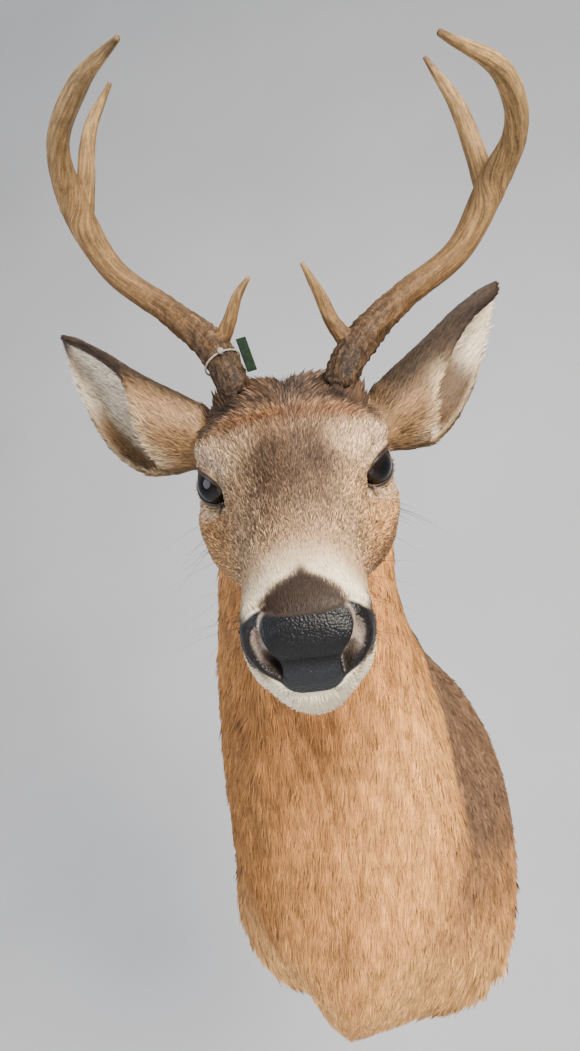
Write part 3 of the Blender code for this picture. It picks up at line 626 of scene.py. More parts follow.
def head_surface(rows, sides):
    """Rings of the head in its own frame, inset by the coat's depth, then carved by head_relief."""
    place = crowded(rows)
    top, bottom, half, wide_z, above, below = flow(HEAD_SECTIONS, place)[:, :, None].transpose(1, 0, 2)
    spread = turns(sides)
    angle = (spread - 0.16 * np.sin(2.0 * spread))[None, :]
    upper = np.sin(angle) >= 0.0
    squareness = np.where(upper, above, below)
    x = np.broadcast_to(place[:, None], (rows, sides))
    depth = 0.0005 + 0.0015 * fade(0.18 - x, 0.0, 0.03) + 0.0035 * fade(0.02 - x, 0.0, 0.06)
    depth = depth + 0.0035 * fade(-0.01 - x, 0.0, 0.04) * fade(np.sin(angle), 0.1, 0.8)
    across = soft_power(np.cos(angle), squareness) * (half - depth)
    rise = soft_power(np.sin(angle), squareness)
    height = wide_z + rise * np.where(upper, top - depth - wide_z, wide_z - bottom - depth)
    grid = np.stack([x, across, height], axis=-1)
    middle = grid[-1].mean(axis=0)
    front = middle + (grid[-1] - middle) * np.linspace(0.85, 0.1, 6)[:, None, None]
    return head_relief(np.concatenate([grid, front]))


def grid_normals(grid):
    """Outward normals of a grid that closes on itself along its second direction."""
    along = np.gradient(grid, axis=0)
    around = (np.roll(grid, -1, axis=1) - np.roll(grid, 1, axis=1)) / 2.0
    normals = unit(np.cross(around, along))
    outward = grid - grid.mean(axis=1, keepdims=True)
    return normals * np.sign(np.sum(normals * outward, axis=-1).mean())


def eye_frame():
    """Unit vectors of the left eye: out through the opening, along the lids towards the nose, and up."""
    look = unit(EYE_LOOK)
    lid = unit(LID_LINE - look * (LID_LINE @ look))
    return look, lid, np.cross(lid, look)


def eye_ways(swing, lift):
    """Directions from the eye's centre with a swing and a lift."""
    look, lid, up = eye_frame()
    height = np.tan(lift) * np.sqrt(1.0 + np.tan(swing) ** 2)
    return unit(np.tan(swing)[:, None] * lid + height[:, None] * up + look)


def lid_measure(q):
    """Distance from the eye's centre, and the place in the lid opening: 1 on its edge.

    The edge is an oval in the swing and lift of the direction from the eye's centre, with
    the front corner drawn out towards the nose.
    """
    out = folded(q) - EYE_PLACE
    reach = np.linalg.norm(out, axis=-1)
    look, lid, up = eye_frame()
    ahead = np.maximum(out @ look, 1e-6)
    swing, lift = np.arctan2(out @ lid, ahead), np.arctan2(out @ up, ahead)
    oval = np.sqrt((swing / LID_HALF[0]) ** 2 + (lift / LID_HALF[1]) ** 2)
    measure = np.minimum(oval, 0.55 + 0.45 * to_segment(swing, lift, *LID_CORNER) / 0.085)
    return reach, np.where(out @ look > 0.1 * reach, measure, 9.0)


def nose_lines(q):
    """Half width of the pad, middle and half width of the nostril's comma, and edge of the wing."""
    rows = flow(NOSE_ROWS, np.clip(q[..., 2].ravel(), NOSE_ROWS[0][0], NOSE_ROWS[-1][0]))
    return np.maximum(rows, 0.0).T.reshape(4, *q.shape[:-1])


def head_relief(grid):
    """Brows, lids, tear pits, cheeks, nostrils, lips and chin as steps along the normals."""
    x, side, z = np.moveaxis(folded(grid), -1, 0)
    flank = fade(side, 0.018, 0.04)
    step = np.zeros_like(x)
    for depth, start, end, spread in HEAD_FORMS:
        step = step + depth * bell(to_segment(x, z, start, end), spread) * flank
    # mouth slit, lower lip, sides of the chin, dip between the antlers
    mouth = z + 0.0375 + 0.1 * (0.19 - x)
    step = step - 0.0026 * bell(mouth, 0.002) * fade(x, 0.105, 0.125)
    step = step - 0.002 * fade(-mouth, 0.0, 0.004) * fade(x, 0.11, 0.13)
    step = step - 0.0018 * fade(side, 0.012, 0.026) * fade(-z, 0.034, 0.056) * fade(x, 0.12, 0.15)
    step = step - 0.005 * bell(side, 0.018) * fade(-x, 0.015, 0.04) * fade(z, 0.02, 0.05)
    # nostrils, their wings, the pad's edge, and the groove of the upper lip
    front = fade(x, 0.165, 0.176)
    pad, comma, comma_half, wing = nose_lines(grid)
    hole = np.abs(side - comma) / np.maximum(comma_half, 0.0004)
    deep = 0.0045 + 0.005 * fade(-z, 0.004, 0.014)
    step = step - deep * fall(hole, 0.5, 1.3) * fade(comma_half, 0.0004, 0.0024) * front
    fold = side - 0.5 * (comma + comma_half + wing)
    step = step + 0.0014 * bell(fold, 0.0032) * fade(wing, 0.02, 0.03) * front
    step = step + 0.001 * fade(pad - side, 0.0, 0.002) * front
    step = step - 0.0003 * bell(side, 0.0012) * front * fade(-z, 0.004, 0.012) * fade(z + 0.036, 0.0, 0.004)
    # swell of the pad, hollow below it, and the swell of the lip
    swells = (0.0014 * bell(z + 0.002, 0.007) - 0.0022 * bell(z + 0.0135, 0.005)
              + 0.0008 * bell(z + 0.025, 0.005))
    step = step + front * fade(pad - side, 0.0, 0.003) * swells
    q = grid + grid_normals(grid) * step[..., None]

    # lids: the skin round the eye is drawn over the ball, and sinks under it inside the opening
    reach, measure = lid_measure(q)
    lid = EYE_RADIUS + 0.0014 + 0.0016 * bell(measure - 1.4, 0.28)
    goal = blend(EYE_RADIUS - 0.003, lid, fade(measure, 0.95, 1.05))
    share = fall(measure, 1.3, 2.1) * fall(reach, EYE_RADIUS + 0.01, EYE_RADIUS + 0.017)
    moved = EYE_PLACE + unit(folded(q) - EYE_PLACE) * (reach + (goal - reach) * share)[..., None]
    moved[..., 1] *= np.where(q[..., 1] < 0.0, -1.0, 1.0)
    return np.where((share > 0.0)[..., None], moved, q)


def ear_surface(side, rows, arc, wall=0.0028, inset=0.002):
    """Cupped ear: an outer arc, then an inner arc back to its start, closed to a full round at the root."""
    base, _, opening, across = ear_frame(side)
    at = np.linspace(0.0, 0.985, rows)
    radius, far, front = (column[:, None] for column in ear_rims(side, at))
    far, front = np.radians([far, front])
    low, high = (-far, front) if side == "right" else (-front, far)
    radius = radius - inset
    share = (np.arange(arc) + 0.5)[None, :] / arc
    outer, inner = low + (high - low) * share, high - (high - low) * share
    lid = high + (2.0 * np.pi - high + low) * share
    hollow = fade(at[:, None], 0.14, 0.34)
    inner_radius = radius - np.minimum(wall, radius * 0.6)
    back, aside = (np.concatenate([radius * curve(outer), hollow * inner_radius * curve(inner)
                                   + (1.0 - hollow) * radius * curve(lid)], axis=1)
                   for curve in (np.cos, np.sin))
    hang = (EAR_BELLY[side] * np.sin(np.pi * at))[:, None]
    middle = base + np.outer(at, EAR_TIP[side] - base) + hang * opening
    return middle[:, None, :] - back[..., None] * opening + aside[..., None] * across


def stem_surface(side, rows, sides):
    """Sleeve of hide that climbs from the skull round the antler to just below its burr."""
    foot, top = BEAM[side][:2, :3]
    first, second = beside(unit(top - foot))
    at = np.linspace(-0.3, 0.46, rows)[:, None, None]
    turn = turns(sides)[None, :, None]
    radius = 0.0136 + 0.011 * fall(at, -0.3, 0.5) ** 2
    return foot + (top - foot) * at + radius * (np.cos(turn) * first + np.sin(turn) * second)


def make_hide():
    """One closed hide of trunk, head, ears and antler stems, its joins softened."""
    forms = [closed_tube("form_trunk", trunk_surface(*TRUNK_GRID)),
             closed_tube("form_head", to_world(head_surface(*HEAD_GRID)))]
    for surface, grid in ((ear_surface, EAR_GRID), (stem_surface, STEM_GRID)):
        forms += [closed_tube("form_" + side, to_world(surface(side, *grid))) for side, _ in SIDES]
    marks = [bpy.data.materials.new(f"region_{number}") for number in range(STEM + 1)]
    for number, form in enumerate(forms):
        for mark in marks:
            form.data.materials.append(mark)
        count = len(form.data.polygons)
        form.data.polygons.foreach_set("material_index", np.full(count, min(number, STEM), np.int32))
    hide = joined(forms[0], forms[1:], "hide")
    points, triangles, region, normals = arrays_of(hide.data)
    edges = np.empty(len(hide.data.edges) * 2, np.int32)
    hide.data.edges.foreach_get("vertices", edges)
    edges = edges.reshape(-1, 2)
    # points where two regions meet, and a few rounds of their neighbours, are smoothed
    lowest, highest = np.full(len(points), 9), np.full(len(points), -1)
    np.minimum.at(lowest, triangles.ravel(), np.repeat(region, 3))
    np.maximum.at(highest, triangles.ravel(), np.repeat(region, 3))
    weight = (lowest != highest).astype(float)[:, None] * np.ones(3)
    for _ in range(MELT_ROUNDS):
        weight = np.maximum(weight, soften(weight, edges, np.ones(len(points)), 1) * 1.6).clip(0.0, 1.0)
    points = soften(points, edges, 0.75 * weight[:, 0], SMOOTH_ROUNDS)
    swell = 0.0012 * waves(points, 0.055, 3) + 0.0006 * waves(points, 0.02, 5)
    body = np.zeros(len(points))
    body[triangles[region == TRUNK].ravel()] = 1.0
    points = points + normals * (swell * body * (points[:, 1] < -0.003))[:, None]
    hide.data.vertices.foreach_set("co", points.astype(np.float32).ravel())
    hide.data.update()
    for mark in marks:
        bpy.data.materials.remove(mark)
    return hide


# ---------------------------------------------------------------- materials
class Finish:
    """A material in the making: its Principled shader, object coordinates, and helpers that add nodes."""

    def __init__(self, name, roughness, specular=0.5):
        """Start with a plain surface of one roughness and shine."""
        self.material = bpy.data.materials.new(name)
        self.material.use_nodes = True
        self.shader = self.material.node_tree.nodes["Principled BSDF"]
        self.shader.inputs["Roughness"].default_value = roughness
        self.shader.inputs["Specular IOR Level"].default_value = specular
        self.place = self.add("TexCoord").outputs["Object"]

    def wire(self, node, links):
        """Set a node's inputs, found by name or as i and a number: a link for a socket, else a value."""
        for key, value in links.items():
            entry = node.inputs[int(key[1:]) if key[1:].isdigit() else key.replace("_", " ")]
            if isinstance(value, bpy.types.NodeSocket):
                self.material.node_tree.links.new(value, entry)
            else:
                entry.default_value = value
        return node

    def add(self, kind, settings=None, **links):
        """Add a shader node with its properties and inputs."""
        node = self.material.node_tree.nodes.new("ShaderNode" + kind)
        for key, value in (settings or {}).items():
            setattr(node, key, value)
        return self.wire(node, links)

    def carried(self, name, output="Fac"):
        """Attribute of the mesh."""
        return self.add("Attribute", {"attribute_name": name}).outputs[output]

    def noise(self, scale, detail, at=None, **links):
        """Noise with about scale swells to a metre."""
        links.update(Vector=self.place if at is None else at, Scale=scale, Detail=detail)
        return self.add("TexNoise", **links).outputs[0]

    def span(self, value, low, high, first, last):
        """Value rescaled so that low becomes first and high becomes last."""
        return self.add("MapRange", i0=value, i1=low, i2=high, i3=first, i4=last).outputs[0]

    def times(self, first, second):
        """Product of two values."""
        return self.add("Math", {"operation": "MULTIPLY"}, i0=first, i1=second).outputs[0]

    def shaded(self, colour, factor):
        """Colour made lighter or darker by a factor."""
        return self.add("VectorMath", {"operation": "SCALE"}, i0=colour, i3=factor).outputs[0]

    def ramp(self, value, *stops):
        """Colour ramp through (place, hex) stops."""
        node = self.add("ValToRGB", i0=value)
        elements = node.color_ramp.elements
        while len(elements) < len(stops):
            elements.new(0.5)
        for element, (place, code) in zip(elements, stops):
            element.position = place
            element.color = (*linear(code), 1.0)
        return node.outputs[0]

    def bump(self, height, strength, distance, settings=None, **links):
        """Normal bent by a height."""
        links.update(Strength=strength, Distance=distance, Height=height)
        return self.add("Bump", settings, **links).outputs[0]

    def done(self, **links):
        """The material, with the shader's own inputs linked."""
        self.wire(self.shader, links)
        return self.material


def hair_material():
    """Deer guard hair: dense, matt, in its own markings, with a slight change from patch to patch."""
    hair = Finish("deer_guard_hair", 0.58, 0.3)
    shade = hair.span(hair.noise(70.0, 3.0), 0.3, 0.7, 0.9, 1.1)
    return hair.done(Base_Color=hair.shaded(hair.carried("tone", "Color"), shade))


def hide_material():
    """Hide under the coat: matt, with fine hair bump, and bare black leather with pebbles on the nose."""
    hide = Finish("deer_hide", 0.8, 0.24)
    tone, bare = hide.carried("tone", "Color"), hide.carried("bare")
    fine = hide.noise(700.0, 3.0)
    shade = hide.times(hide.span(fine, 0.3, 0.7, 0.8, 1.05),
                       hide.span(hide.noise(60.0, 3.0), 0.3, 0.7, 0.88, 1.1))
    # pebbles of the nose leather, about 1.2 mm across
    pebble = hide.add("TexVoronoi", {"feature": "SMOOTH_F1"}, Vector=hide.place, Scale=780.0,
                      Smoothness=0.4).outputs[0]
    leather = hide.shaded(tone, hide.span(pebble, 0.1, 0.6, 1.2, 0.7))
    mix = hide.add("Mix", {"data_type": "RGBA"}, i0=bare, i6=hide.shaded(tone, shade), i7=leather).outputs[2]
    fuzz = hide.bump(fine, 0.5, 0.0006)
    return hide.done(Base_Color=mix, Roughness=hide.span(bare, 0.0, 1.0, 0.85, 0.42),
                     Normal=hide.bump(hide.times(pebble, bare), 0.5, 0.0006, {"invert": True}, Normal=fuzz))


def bone_material():
    """Antler bone: finely lined along its run, stained brown and hollowed low down, tan above."""
    bone = Finish("antler_bone", 0.62, 0.2)
    age = bone.carried("age")
    base = bone.ramp(age, (0.0, "#372618"), (0.1, "#4C3927"), (0.28, "#684C2E"), (0.6, "#886A44"),
                     (0.94, "#987A50"), (1.0, "#685237"))
    # fine dark lines about 1.5 mm apart that run along the bone, over its wider grooves
    lines = bone.noise(680.0, 4.0, bone.carried("run", "Vector"), Roughness=0.65)
    wear = bone.times(bone.span(bone.carried("groove"), -1.0, 1.2, 0.62, 1.25),
                      bone.span(lines, 0.36, 0.62, 0.48, 1.2))
    shade = bone.times(wear, bone.span(bone.noise(90.0, 4.0), 0.3, 0.7, 0.82, 1.14))
    # worn ridges a few millimetres apart with dark hollows between, fading a hand's breadth up the beam
    drawn = bone.add("Mapping", Vector=bone.place, Scale=(1.0, 1.0, 0.6)).outputs[0]
    split = bone.noise(330.0, 3.0, drawn, Roughness=0.6, Distortion=1.6)
    dirt = bone.span(split, 0.62, 0.42, 1.25, bone.span(age, 0.05, 0.42, 0.26, 0.95))
    return bone.done(Base_Color=bone.shaded(base, bone.times(shade, dirt)),
                     Normal=bone.bump(bone.noise(900.0, 2.0), 0.35, 0.0005))


def eye_material():
    """Glass eye: dark brown iris round an oblong pupil, under a polished clear front."""
    glass = Finish("glass_eye", 0.03, 0.24)
    rays = glass.noise(500.0, 2.0)
    iris = glass.carried("iris")
    spread = glass.add("Math", {"operation": "MULTIPLY_ADD"}, i0=rays, i1=0.12, i2=iris).outputs[0]
    return glass.done(Base_Color=glass.ramp(spread, (0.0, "#060708"), (0.46, "#07080B"), (0.6, "#140D09"),
                                            (0.86, "#1A110B"), (1.0, "#0C0806")))


def plain_material(name, dark, light, size, roughness, stretch=(1.0, 1.0, 1.0), bump=0.3, specular=0.4):
    """Two-tone finish with matching bump: noise of a grain size in metres, stretched along the axes."""
    plain = Finish(name, roughness, specular)
    noise = plain.noise(1.0 / size, 4.0, plain.add("Mapping", Vector=plain.place, Scale=stretch).outputs[0])
    return plain.done(Base_Color=plain.ramp(noise, (0.35, dark), (0.65, light)),
                      Normal=plain.bump(noise, bump, 0.0004))


# ---------------------------------------------------------------- coat
def lie_of_coat(points, normals, region):
    """Way the hair lies at each point: down the neck and breast, from the nose to the poll, up each ear."""
    q = to_head(points)
    x, y, z = points.T
    down = np.stack([-0.25 * (x - 0.007), np.full(len(x), 0.42), np.full(len(x), -0.86)], axis=1)
    down[:, 1] -= 0.3 * fade(-y, 0.12, 0.18) * fade(-z, -0.25, 0.0)
    down[:, 0] -= 5.0 * (x - 0.01) * fade(-z, 0.09, 0.22)
    down[:, 0] -= 0.35 * fade(-x, 0.06, 0.075) * fade(z, 0.0, 0.05)
    down[:, 0] += 0.45 * fade(x, 0.085, 0.12) * fade(z, -0.05, 0.05)
    side = np.sign(q[:, 1])
    # back over the head, parted outwards on the crown, and round the eyes
    ahead, aside, above = folded(q).T
    outward = 0.9 * fade(-ahead, -0.012, 0.015) * fade(above, 0.025, 0.04) * fade(aside, 0.0, 0.02)
    outward = outward * (1.0 - 0.6 * fade(-ahead, 0.035, 0.06)) + 0.2 * fade(above, 0.02, 0.05)
    back = np.tile(-HEAD[:, 0], (len(points), 1))
    back += HEAD[:, 1] * (outward * side)[:, None]
    back -= HEAD[:, 2] * (0.45 * fade(-q[:, 2], 0.0, 0.05))[:, None]
    away = folded(q) - EYE_PLACE
    near = fall(np.linalg.norm(away, axis=1), 0.022, 0.04)
    away[:, 1] *= side
    back = back + (unit(away) @ HEAD.T) * (1.6 * near)[:, None]
    way = np.where((region == TRUNK)[:, None], down, back)
    for number, name in EARS:
        _, axis, _, across = ear_frame(name)
        inner = ear_place(q, name, normals)[2]
        run = axis - across * (EAR_FRONT[name] * 0.1 * inner)[:, None]
        way = np.where((region == number)[:, None], run @ HEAD.T, way)
    for name, sign in SIDES:
        beam = unit(BEAM[name][1, :3] - BEAM[name][0, :3])
        stem = (region == STEM) & (side == sign)
        way = np.where(stem[:, None], HEAD @ (beam + np.array([-0.4, 0.5 * sign, 0.0])), way)
    return unit(way - normals * np.sum(way * normals, axis=1, keepdims=True))


def coat_sizes(points, normals, region):
    """Length, width and lift of the locks at each point, and how many grow on a square metre."""
    q = to_head(points)
    x, _, z = q.T
    kinds = [(region == number)[:, None].astype(float) for number in range(STEM + 1)]
    head = kinds[SKULL][:, 0]
    fringe = kinds[TRUNK][:, 0] * fade(-points[:, 2], 0.08, 0.17) * fall(-points[:, 1], 0.015, 0.06)
    shares = {"face": head * fade(x, -0.02, 0.03), "muzzle": head * fade(x, 0.1, 0.15),
              "crown": head * fade(-x, 0.01, 0.035) * fade(z, 0.01, 0.03),
              "chin": head * fade(-z, 0.03, 0.04) * fade(x, 0.09, 0.12),
              "jaw": head * fade(-z, 0.045, 0.065) * fall(x, 0.08, 0.12)}
    sizes = BODY_LOCKS + fringe[:, None] * LOCK_CHANGES["fringe"]
    sizes = blend(sizes + grey_share(points)[:, None] * LOCK_CHANGES["grey"], HEAD_LOCKS, kinds[SKULL])
    for name, share in shares.items():
        sizes = sizes + share[:, None] * LOCK_CHANGES[name]
    for number, name in EARS:
        along, _, inner = ear_place(q, name, normals)
        ear = EAR_LOCKS + fade(along, 0.86, 0.96)[:, None] * LOCK_CHANGES["ear tip"]
        sizes = blend(sizes, ear + inner[:, None] * LOCK_CHANGES["inner ear"], kinds[number])
    return blend(sizes, STEM_LOCKS, kinds[STEM]).T


def bare_skin(q, region):
    """Share of bare leather on the nose, and share of bare dark skin at the eye."""
    side = np.abs(q[:, 1])
    pad, _, _, wing = nose_lines(q)
    front = fade(q[:, 0], 0.166, 0.172) * (region == SKULL)
    edge = np.maximum(pad, wing)
    leather = fade(edge - side, -0.0008, 0.0008) * front * (edge > 0.001)
    leather = leather * fall(q[:, 2], 0.0125, 0.014)
    reach, measure = lid_measure(q)
    near = fall(reach, EYE_RADIUS + 0.004, EYE_RADIUS + 0.006)
    return leather, fall(measure, 1.12, 1.24) * (region == SKULL) * near


def tear_slit(q, region):
    """Distance from the tear pit as seen from the side of the face, and share of that side."""
    return to_segment(q[:, 0], q[:, 2], *TEAR_PIT), (region == SKULL) * fade(np.abs(q[:, 1]), 0.03, 0.04)


def colour_of(points, region, normals):
    """Markings of skin and coat alike, with painted light and shade among them, and share of bare leather.
    """
    q = to_head(points)
    count = len(points)
    on_head = (region == SKULL) * fade(q[:, 0], -0.095, -0.06)
    tone = blend(trunk_colour(points), head_colour(q), on_head[:, None])
    tone = np.where((region == STEM)[:, None], linear("#4C3829"), tone)
    for number, name in EARS:
        tone = np.where((region == number)[:, None], ear_colour(q, name, normals), tone)
    leather, eye = bare_skin(q, region)
    x, side, z = folded(q).T
    pad, comma, comma_half, wing = nose_lines(q)
    hole = np.abs(side - comma) / np.maximum(comma_half, 0.0004)
    inside = fall(hole, 0.7, 1.1) * (comma_half > 0.0006)
    skin = lay(
        flat_tone("#090A0E", count),
        # painted sheen on the lower lip, painted shade in the fold above it, dark wings, paler inner fold of
        # each nostril fading to painted shade low in the hole, and edge of the pad
        ("#1E2126", 0.8 * fade(-z, 0.012, 0.02) * fall(side, 0.012, 0.022)),
        ("#020203", 0.8 * bell(z + 0.0095, 0.004)),
        ("#100B0C", fade(side - pad, 0.0, 0.002)),
        ("#8F7F73", 0.9 * inside * (1.0 - 0.85 * fade(-z, 0.008, 0.018))),
        ("#B9A89A", 0.6 * bell(side - pad, 0.0007) * fade(z, -0.01, 0.0) * (pad > 0.005)))
    rim = fade(wing - side, -0.005, -0.0015) * (region == SKULL) * fade(x, 0.16, 0.172) * (wing > 0.005)
    tone = lay(tone, ("#241A16", 0.9 * rim * between(z, -0.026, -0.018, 0.002, 0.01)))
    tone = blend(tone, skin, leather[:, None])
    distance, flank = tear_slit(q, region)
    return lay(tone, ("#17110F", 0.95 * eye), ("#1F1512", 0.92 * flank * bell(distance, 0.0016))), leather


def atlas(points, normals, region):
    """Flat layout of the hide: trunk and head unrolled round their long axes, each ear laid flat."""
    q = to_head(points)
    foot, top = np.array([0.005, 0.0, -0.06]), np.array([-0.012, -0.29, 0.31])
    run = unit(top - foot)
    off = points - foot
    height = off @ run
    aside = off - height[:, None] * run
    turn = np.arctan2(aside[:, 0], aside @ unit(np.cross([1.0, 0.0, 0.0], run))) / (2.0 * np.pi) + 0.5
    spin = np.arctan2(q[:, 1], q[:, 2] + 0.015) / (2.0 * np.pi) + 0.5
    head = (region == SKULL) | (region == STEM)
    u = np.where(head, 0.63 + 0.36 * spin, 0.01 + 0.6 * turn)
    v = np.where(head, 0.02 + 0.5 * np.clip((q[:, 0] + 0.11) / 0.32, 0.0, 1.0),
                 0.06 + 0.88 * np.clip((height + 0.22) / 0.75, 0.0, 1.0))
    for (number, name), left in zip(EARS, (0.675, 0.865)):
        along, angle, inner = ear_place(q, name, normals)
        ear = region == number
        strip = left + 0.085 * (inner > 0.5)
        u = np.where(ear, strip + 0.04 * np.clip(angle / 180.0, -1.0, 1.0), u)
        v = np.where(ear, 0.56 + 0.4 * np.clip(along, 0.0, 1.0), v)
    return np.stack([u, v], axis=1)


def locks(name, material, root, normal, way, length, width, lift, tone, tick, spot):
    """Solid locks of hair: each is a four-faced blade from a wide root over a raised ridge to a fine tip.

    The ridge is at 0.45 of the length, lifted off the skin, and the tip bends back towards
    it. Shading normals follow the skin, so that the coat looks soft. Tone is the colour at
    the root and tick that of the tip.
    """
    count = len(root)
    side = unit(np.cross(normal, way))
    rise = (np.tan(lift) * length)[:, None]
    half = width[:, None] / 2.0
    start = root - normal * 0.0008
    ridge = root + way * 0.45 * length[:, None] + normal * (0.55 * rise + 0.5 * half)
    tip = root + way * length[:, None] + normal * 0.75 * rise
    points = np.stack([start - side * half, start + side * half, ridge, tip], axis=1)
    points[..., 1] = np.minimum(points[..., 1], -0.0004)
    pattern = np.array([[1, 0, 2], [2, 0, 3], [1, 2, 3], [0, 1, 3]])
    faces = ((np.arange(count) * 4)[:, None, None] + pattern).reshape(-1, 3)
    thing = piece(name, points.reshape(-1, 3), [faces], material)
    mesh = thing.data
    layout = np.array([[0.0, 0.0], [1.0, 0.0], [0.5, 0.5], [0.5, 1.0]])[np.tile(pattern.ravel(), count)]
    spots = spot[np.repeat(np.arange(count), pattern.size)] + (layout - 0.5) * 0.003
    mesh.uv_layers.new(name="OFBake").data.foreach_set("uv", spots.astype(np.float32).ravel())
    # root corners at half the tone: partly the hair's own darker base, partly painted shade deep in the coat
    shades = np.stack([0.5 * tone, 0.5 * tone, 0.95 * tone, tick], axis=1)
    put(mesh, "tone", "FLOAT_COLOR", shades.reshape(-1, 3))
    bent = np.stack([normal - 0.45 * side, normal + 0.45 * side, normal, normal + 0.25 * way], axis=1)
    mesh.normals_split_custom_set_from_vertices(unit(bent).reshape(-1, 3).tolist())
    return thing


def scatter(points, triangles, region, normals, wanted):
    """Random roots on a mesh, wanted to a square metre, with their normal and region."""
    a, b, c = (points[triangles[:, k]] for k in range(3))
    total = np.cumsum(np.linalg.norm(np.cross(b - a, c - a), axis=1) / 2.0 * wanted)
    count = int(total[-1])
    pick = np.searchsorted(total, (np.arange(count) + RNG.uniform(size=count)) * total[-1] / count)
    pick = np.minimum(pick, len(triangles) - 1)
    s, t = RNG.uniform(size=(2, count))
    fold = s + t > 1.0
    s, t = np.where(fold, 1.0 - s, s)[:, None], np.where(fold, 1.0 - t, t)[:, None]
    root = a[pick] * (1.0 - s - t) + b[pick] * s + c[pick] * t
    corner = normals[triangles[pick]]
    normal = unit(corner[:, 0] * (1.0 - s - t) + corner[:, 1] * s + corner[:, 2] * t)
    return root, normal, region[pick]


def make_coat(hide, material):
    """Coat of locks over the hide, one piece to each part of the body."""
    points, triangles, region, normals = arrays_of(hide.data)
    centre = points[triangles].mean(axis=1)
    density = coat_sizes(centre, unit(normals[triangles].mean(axis=1)), region)[3]
    middle = to_head(centre)
    leather, eye = bare_skin(middle, region)
    distance, flank = tear_slit(middle, region)
    density = density * (1.0 - np.clip(leather * 1.5, 0.0, 1.0)) * (1.0 - eye)
    density = density * (1.0 - flank * (distance < 0.0013)) * fall(centre[:, 1], -0.006, -0.003)
    root, normal, kind = scatter(points, triangles, region, normals, density)
    count = len(root)
    q = to_head(root)
    half = folded(q)

    way = lie_of_coat(root, normal, kind)
    sway = 0.13 * RNG.normal(size=count) + 0.12 * waves(root, 0.03, 8) + 0.12 * waves(root, 0.01, 9)
    way = unit(way + np.cross(normal, way) * sway[:, None])
    length, width, lift, _ = coat_sizes(root, normal, kind)
    length = length * RNG.uniform(0.65, 1.25, count)
    width = width * RNG.uniform(0.7, 1.3, count)
    lift = lift * RNG.uniform(0.4, 1.6, count)
    near_eye = (kind == SKULL) * fade(0.046 - np.linalg.norm(half - EYE_PLACE, axis=1), 0.0, 0.02)
    length = length * (1.0 - 0.45 * near_eye)

    tone, _ = colour_of(root, kind, normal)
    # strands of lighter and darker hair, long across the lie, and grizzled ticks on face, ears and shoulders
    strand = waves(root * np.array([1.0, 0.3, 0.14]), 0.0028, 12)
    strand = strand + 0.8 * waves(root * np.array([1.0, 0.5, 0.25]), 0.009, 13)
    tone = tone * np.exp(0.27 * strand * (kind == TRUNK))[:, None]
    body, skull = kind == TRUNK, kind == SKULL
    grizzle = np.select([skull, body], [0.78 - 0.52 * fade(q[:, 0], 0.12, 0.15), 0.33], 0.44)
    grizzle = np.maximum(grizzle, 0.4 * body * grey_share(root))
    pepper = 1.0 - 0.62 * (RNG.uniform(size=count) < 0.9 * np.clip(grizzle - 0.24, 0.0, 1.0))
    tips, roots = (np.exp(share * grizzle * RNG.normal(size=count).clip(-2, 1.4)) for share in (1.0, 0.5))
    tick = tone * ((1.25 + 0.1 * (kind > TRUNK)) * pepper * tips)[:, None]
    tone = tone * (pepper * roots)[:, None]
    values = (root, normal, way, length, width, lift, tone, tick, atlas(root, normal, kind))

    neck = body & (root[:, 2] + 0.59 * (root[:, 1] + 0.132) > 0.07)
    breast = body & ~neck
    muzzle = skull & (q[:, 0] > 0.095)
    face = skull & (q[:, 0] > 0.0) & ~muzzle
    poll = skull & ~face & ~muzzle
    for name, slot, chosen in (
            ("coat_shoulder_left", "body_hair", breast & (root[:, 0] >= 0.007)),
            ("coat_shoulder_right", "body_hair", breast & (root[:, 0] < 0.007)),
            ("coat_neck_left", "body_hair", neck & (root[:, 0] >= -0.01)),
            ("coat_neck_right", "body_hair", neck & (root[:, 0] < -0.01)),
            ("coat_crown", "face_hair", (poll & (q[:, 2] > -0.02)) | (kind == STEM)),
            ("coat_jaw", "face_hair", poll & (q[:, 2] <= -0.02)),
            ("coat_face_left", "face_hair", face & (q[:, 1] >= 0.0)),
            ("coat_face_right", "face_hair", face & (q[:, 1] < 0.0)),
            ("coat_muzzle", "muzzle_hair", muzzle & (q[:, 2] > -0.032)),
            ("coat_chin", "chin_hair", muzzle & (q[:, 2] <= -0.032)),
            ("coat_ear_right", "ear_hair", kind == RIGHT_EAR),
            ("coat_ear_left", "ear_hair", kind == LEFT_EAR)):
        locks(name, material, *(value[chosen] for value in values))


